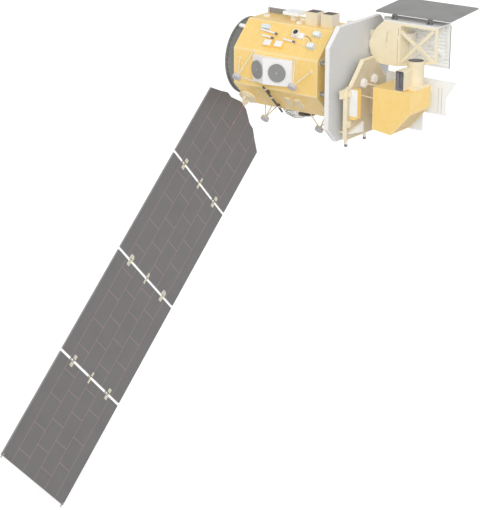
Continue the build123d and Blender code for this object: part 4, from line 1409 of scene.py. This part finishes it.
@dataclass
class TowerTrim(Assembly):
    """Dark lining, vanes and lip of the round tower, and the hood at its side."""

    middle: tuple[float, float] = (1.412, 0.150)
    base: float = -0.050
    height: float = 0.516
    radius: float = 0.182
    wall: float = 0.012
    hood_ends: tuple[float, float] = (1.227, 1.452)
    hood_mouth: float = -0.372
    hood_back: float = -0.026
    hood_low: float = -0.111
    hood_top: float = 0.334
    hood_depth: float = 0.165
    hood_corner: float = 0.045

    def hood(self) -> None:
        """Make the hood: a shell with a deep mouth, its solid rear and a dark lining with one vane."""
        rear_end, front_end = self.hood_ends
        width, height = front_end - rear_end, self.hood_top - self.hood_low
        spot = (DECK + (rear_end + front_end) / 2, self.hood_mouth, (self.hood_low + self.hood_top) / 2)
        mouth = place(spot, (0, -1, 0), (1, 0, 0))
        shell = rounded(width, height, self.hood_corner, 6)
        hole = rounded(width - 2 * self.wall, height - 2 * self.wall, self.hood_corner - self.wall, 6)
        hood, cave = Form("tower_hood"), Form("tower_hood_lining")
        hood.border(mouth, shell, hole, -self.hood_depth, 0.0)
        hood.slab(mouth, shell, self.hood_mouth - self.hood_back, -self.hood_depth + 0.001)
        cave.border(mouth, grown(hole, -0.0004), grown(hole, -0.0024), -self.hood_depth + 0.0015, -0.001)
        cave.slab(mouth, grown(hole, -0.0028), -self.hood_depth + 0.0015, -self.hood_depth + 0.004)
        cave.border(mouth, grown(hole, -0.0027), grown(hole, -0.030), -0.09, -0.087)
        self.finish(hood, "tower_film", "tan_film")
        self.finish(cave, "cave_mouth", "black_paint")

    def build(self) -> None:
        """Make the lining with its two vanes, the lip round the mouth, and the hood."""
        shaft = place((DECK + self.middle[0], self.middle[1], self.base), (0, 0, 1), (1, 0, 0))
        lining, lip = Form("tower_lining"), Form("tower_lip")
        bore = self.radius - self.wall
        lining.annulus(shaft, bore - 0.003, bore - 0.0004, self.wall + 0.0005, self.height - 0.001, 64)
        lining.lathe(shaft, [(bore - 0.0035, self.wall + 0.0004), (bore - 0.0035, self.wall + 0.003)], 64)
        for level in (0.25, 0.38):
            lining.annulus(shaft, bore - 0.030, bore - 0.0034, level, level + 0.003, 64)
        lip.annulus(shaft, bore - 0.001, self.radius + 0.002, self.height - 0.010, self.height + 0.002, 64)
        self.wardrobe.dress("tower", "tower_film")
        self.hood()
        self.finish(lining, "dark_mouth", "black_paint")
        self.finish(lip, "tower_film", "tan_film")


@dataclass
class ScopeTrim(Assembly):
    """Slits, strap, mirror box and drum of the telescope, and the braces of its open frame."""

    left: float = 0.340
    depth: float = 0.540
    seam: float = 0.836
    rail_depth: float = 0.045
    brace_width: float = 0.070
    brace_grip: float = 0.040
    brace_runs: tuple[tuple[float, ...], ...] = ((0.927, 0.956, 1.689, 0.437), (0.927, 0.325, 1.661, 1.055))

    def braces(self) -> None:
        """Crossing braces in both sides of the frame, the second sunk a little below the first."""
        form = Form("scope_braces")
        for inset in (0.0, self.depth - self.rail_depth):
            for sunk, (back, low, front, high) in zip((0.001, 0.003), self.brace_runs):
                spot = (DECK + (back + front) / 2, self.left + inset, (low + high) / 2)
                beam = place(spot, (0, -1, 0), (front - back, 0, high - low))
                length = math.hypot(front - back, high - low) + 2 * self.brace_grip
                form.brick(beam, length, self.brace_width, sunk - self.rail_depth, -sunk, 0.002)
        self.finish(form, "frame_film", "tan_film")

    def build(self) -> None:
        """Make the marks on the left face and the parts inside the frame."""
        side = place((DECK, self.left, 0), (0, -1, 0), (1, 0, 0))
        marks, drum, straps = Form("scope_slits"), Form("scope_mirror_drum"), Form("scope_straps")
        marks.brick(side.moved(0.556, 0.823), 0.010, 0.228, -0.004, 0.001, 0.0005)
        marks.brick(side.moved(self.seam, 0.96), 0.009, 0.160, -0.004, 0.001, 0.0005)
        marks.brick(side.moved(self.seam - 0.008, 0.52), 0.006, 0.58, -0.004, 0.0008, 0.0004)
        straps.brick(side.moved(self.seam - 0.036, 0.63), 0.040, 0.80, -0.001, 0.0015, 0.0007)
        wall = place((DECK + self.seam, 0.70, 0.80), (1, 0, 0), (0, 1, 0))
        drum.lathe(
            wall.moved(-0.115, 0.03),
            [(0.060, -0.001), (0.060, 0.12), (0.052, 0.135), (0.030, 0.137), (0.0, 0.12)], 24,
        )
        box = Form("scope_mirror_box")
        box.brick(wall.moved(0.01, 0.0035), 0.180, 0.193, -0.001, 0.174, 0.004)
        self.finish(box, "pale_plate", "white_paint")
        self.braces()
        self.finish(marks, "dark_mouth", "black_paint")
        self.finish(drum, "white_paint", "white_paint")
        self.wardrobe.dress("scope_frame", "frame_film")
        self.finish(straps, "tan_film", "tan_film")


@dataclass
class RadiatorTrim(Assembly):
    """Louvre ribs, painted louvre shadow lines and edge strips of the two big white radiators."""

    scope_face: float = 0.880
    scope_back: float = 0.915
    inner_start: float = 0.93
    pitch: float = 0.077

    def build(self) -> None:
        """Make ribs on the far face of the telescope's radiator, grey lines on its near face as painted louvre
        shadows, and its grey end strip.
        """
        ribs, lines, ends = Form("scope_radiator_ribs"), Form("scope_radiator_shadow_lines"), Form("scope_radiator_end")
        rear, front, low, high = 0.135, 1.795, 0.190, 1.130
        for number in range(int((high - low) / self.pitch)):
            z = low + self.pitch * (number + 0.5)
            far = place((DECK + (rear + front) / 2, self.scope_back, z), (0, 1, 0), (1, 0, 0))
            ribs.brick(far, front - rear - 0.03, 0.012, -0.001, 0.004, 0.002)
            # painted shadow: thin grey lines on the near face stand for the shade between louvre slats
            near = place((DECK + (self.inner_start + front) / 2, self.scope_face, z), (0, -1, 0), (1, 0, 0))
            lines.brick(near, front - self.inner_start - 0.01, 0.009, -0.001, 0.001, 0.0005)
        tip = place(
            (DECK + front, (self.scope_face + self.scope_back) / 2, (low + high) / 2), (1, 0, 0), (0, 1, 0)
        )
        ends.brick(tip, self.scope_back - self.scope_face - 0.001, high - low - 0.002, -0.001, 0.002, 0.001)
        self.wardrobe.dress("scope_radiator", "radiator_white")
        self.wardrobe.dress("imager_radiator", "radiator_white")
        self.finish(ribs, "radiator_white", "white_paint")
        # grey lines as painted louvre shadow
        self.finish(lines, "deck_grey", "white_paint")
        self.finish(ends, "dark_panel", "dark_panel")
        marks = Form("imager_radiator_strips")
        face = place((DECK, 0.620, 0), (0, -1, 0), (1, 0, 0))
        for x in (1.72, 1.80):
            marks.brick(face.moved(x, -0.45), 0.010, 0.56, -0.001, 0.002, 0.001)
        self.finish(marks, "lead_grey", "white_paint")


@dataclass
class ShadeTrim(Assembly):
    """Edge binding of the shade, on both its faces."""

    body: str = "sun_shade"
    back: float = DECK + 0.170
    length: float = 1.860
    width: float = 1.160
    overhang: float = 0.012
    thickness: float = 0.030
    tilt: float = 4.5
    hinge: tuple[float, float] = (0.485, 1.265)
    lift: float = 0.034

    def build(self) -> None:
        """Make the binding as a low band round the sheet's edge."""
        t = math.radians(self.tilt)
        out = np.array([0.0, -math.sin(t), math.cos(t)])
        origin = np.array([self.back, *self.hinge]) + out * self.lift
        sheet = place(origin, tuple(out), (1, 0, 0)).moved(self.length / 2, self.width / 2 - self.overhang)
        form = Form("shade_binding")
        edge = rounded(self.length, self.width, 0.004, 2)
        form.border(sheet, grown(edge, 0.0005), grown(edge, -0.014), -0.0004, self.thickness + 0.0015)
        self.finish(form, "dark_panel", "dark_panel")


def main() -> None:
    """Build the stage and every sub-assembly."""
    logging.basicConfig(level=logging.INFO)
    Studio().build()
    wardrobe = Wardrobe()
    for part in frame["record"]["subparts"]:
        wardrobe.dress(part["node"], part["material_slot"])
    for kind in (
        BusTrim, RingTrim, Trackers, SideHousing, FacetGear, BasketTrim, Wing, StowGear, DeckTrim,
        EquipmentTrim, ImagerTrim, TowerTrim, ScopeTrim, RadiatorTrim, ShadeTrim,
    ):
        kind(wardrobe).build()
        log.info("built %s", kind.__name__)


if __name__ == "__main__":
    main()
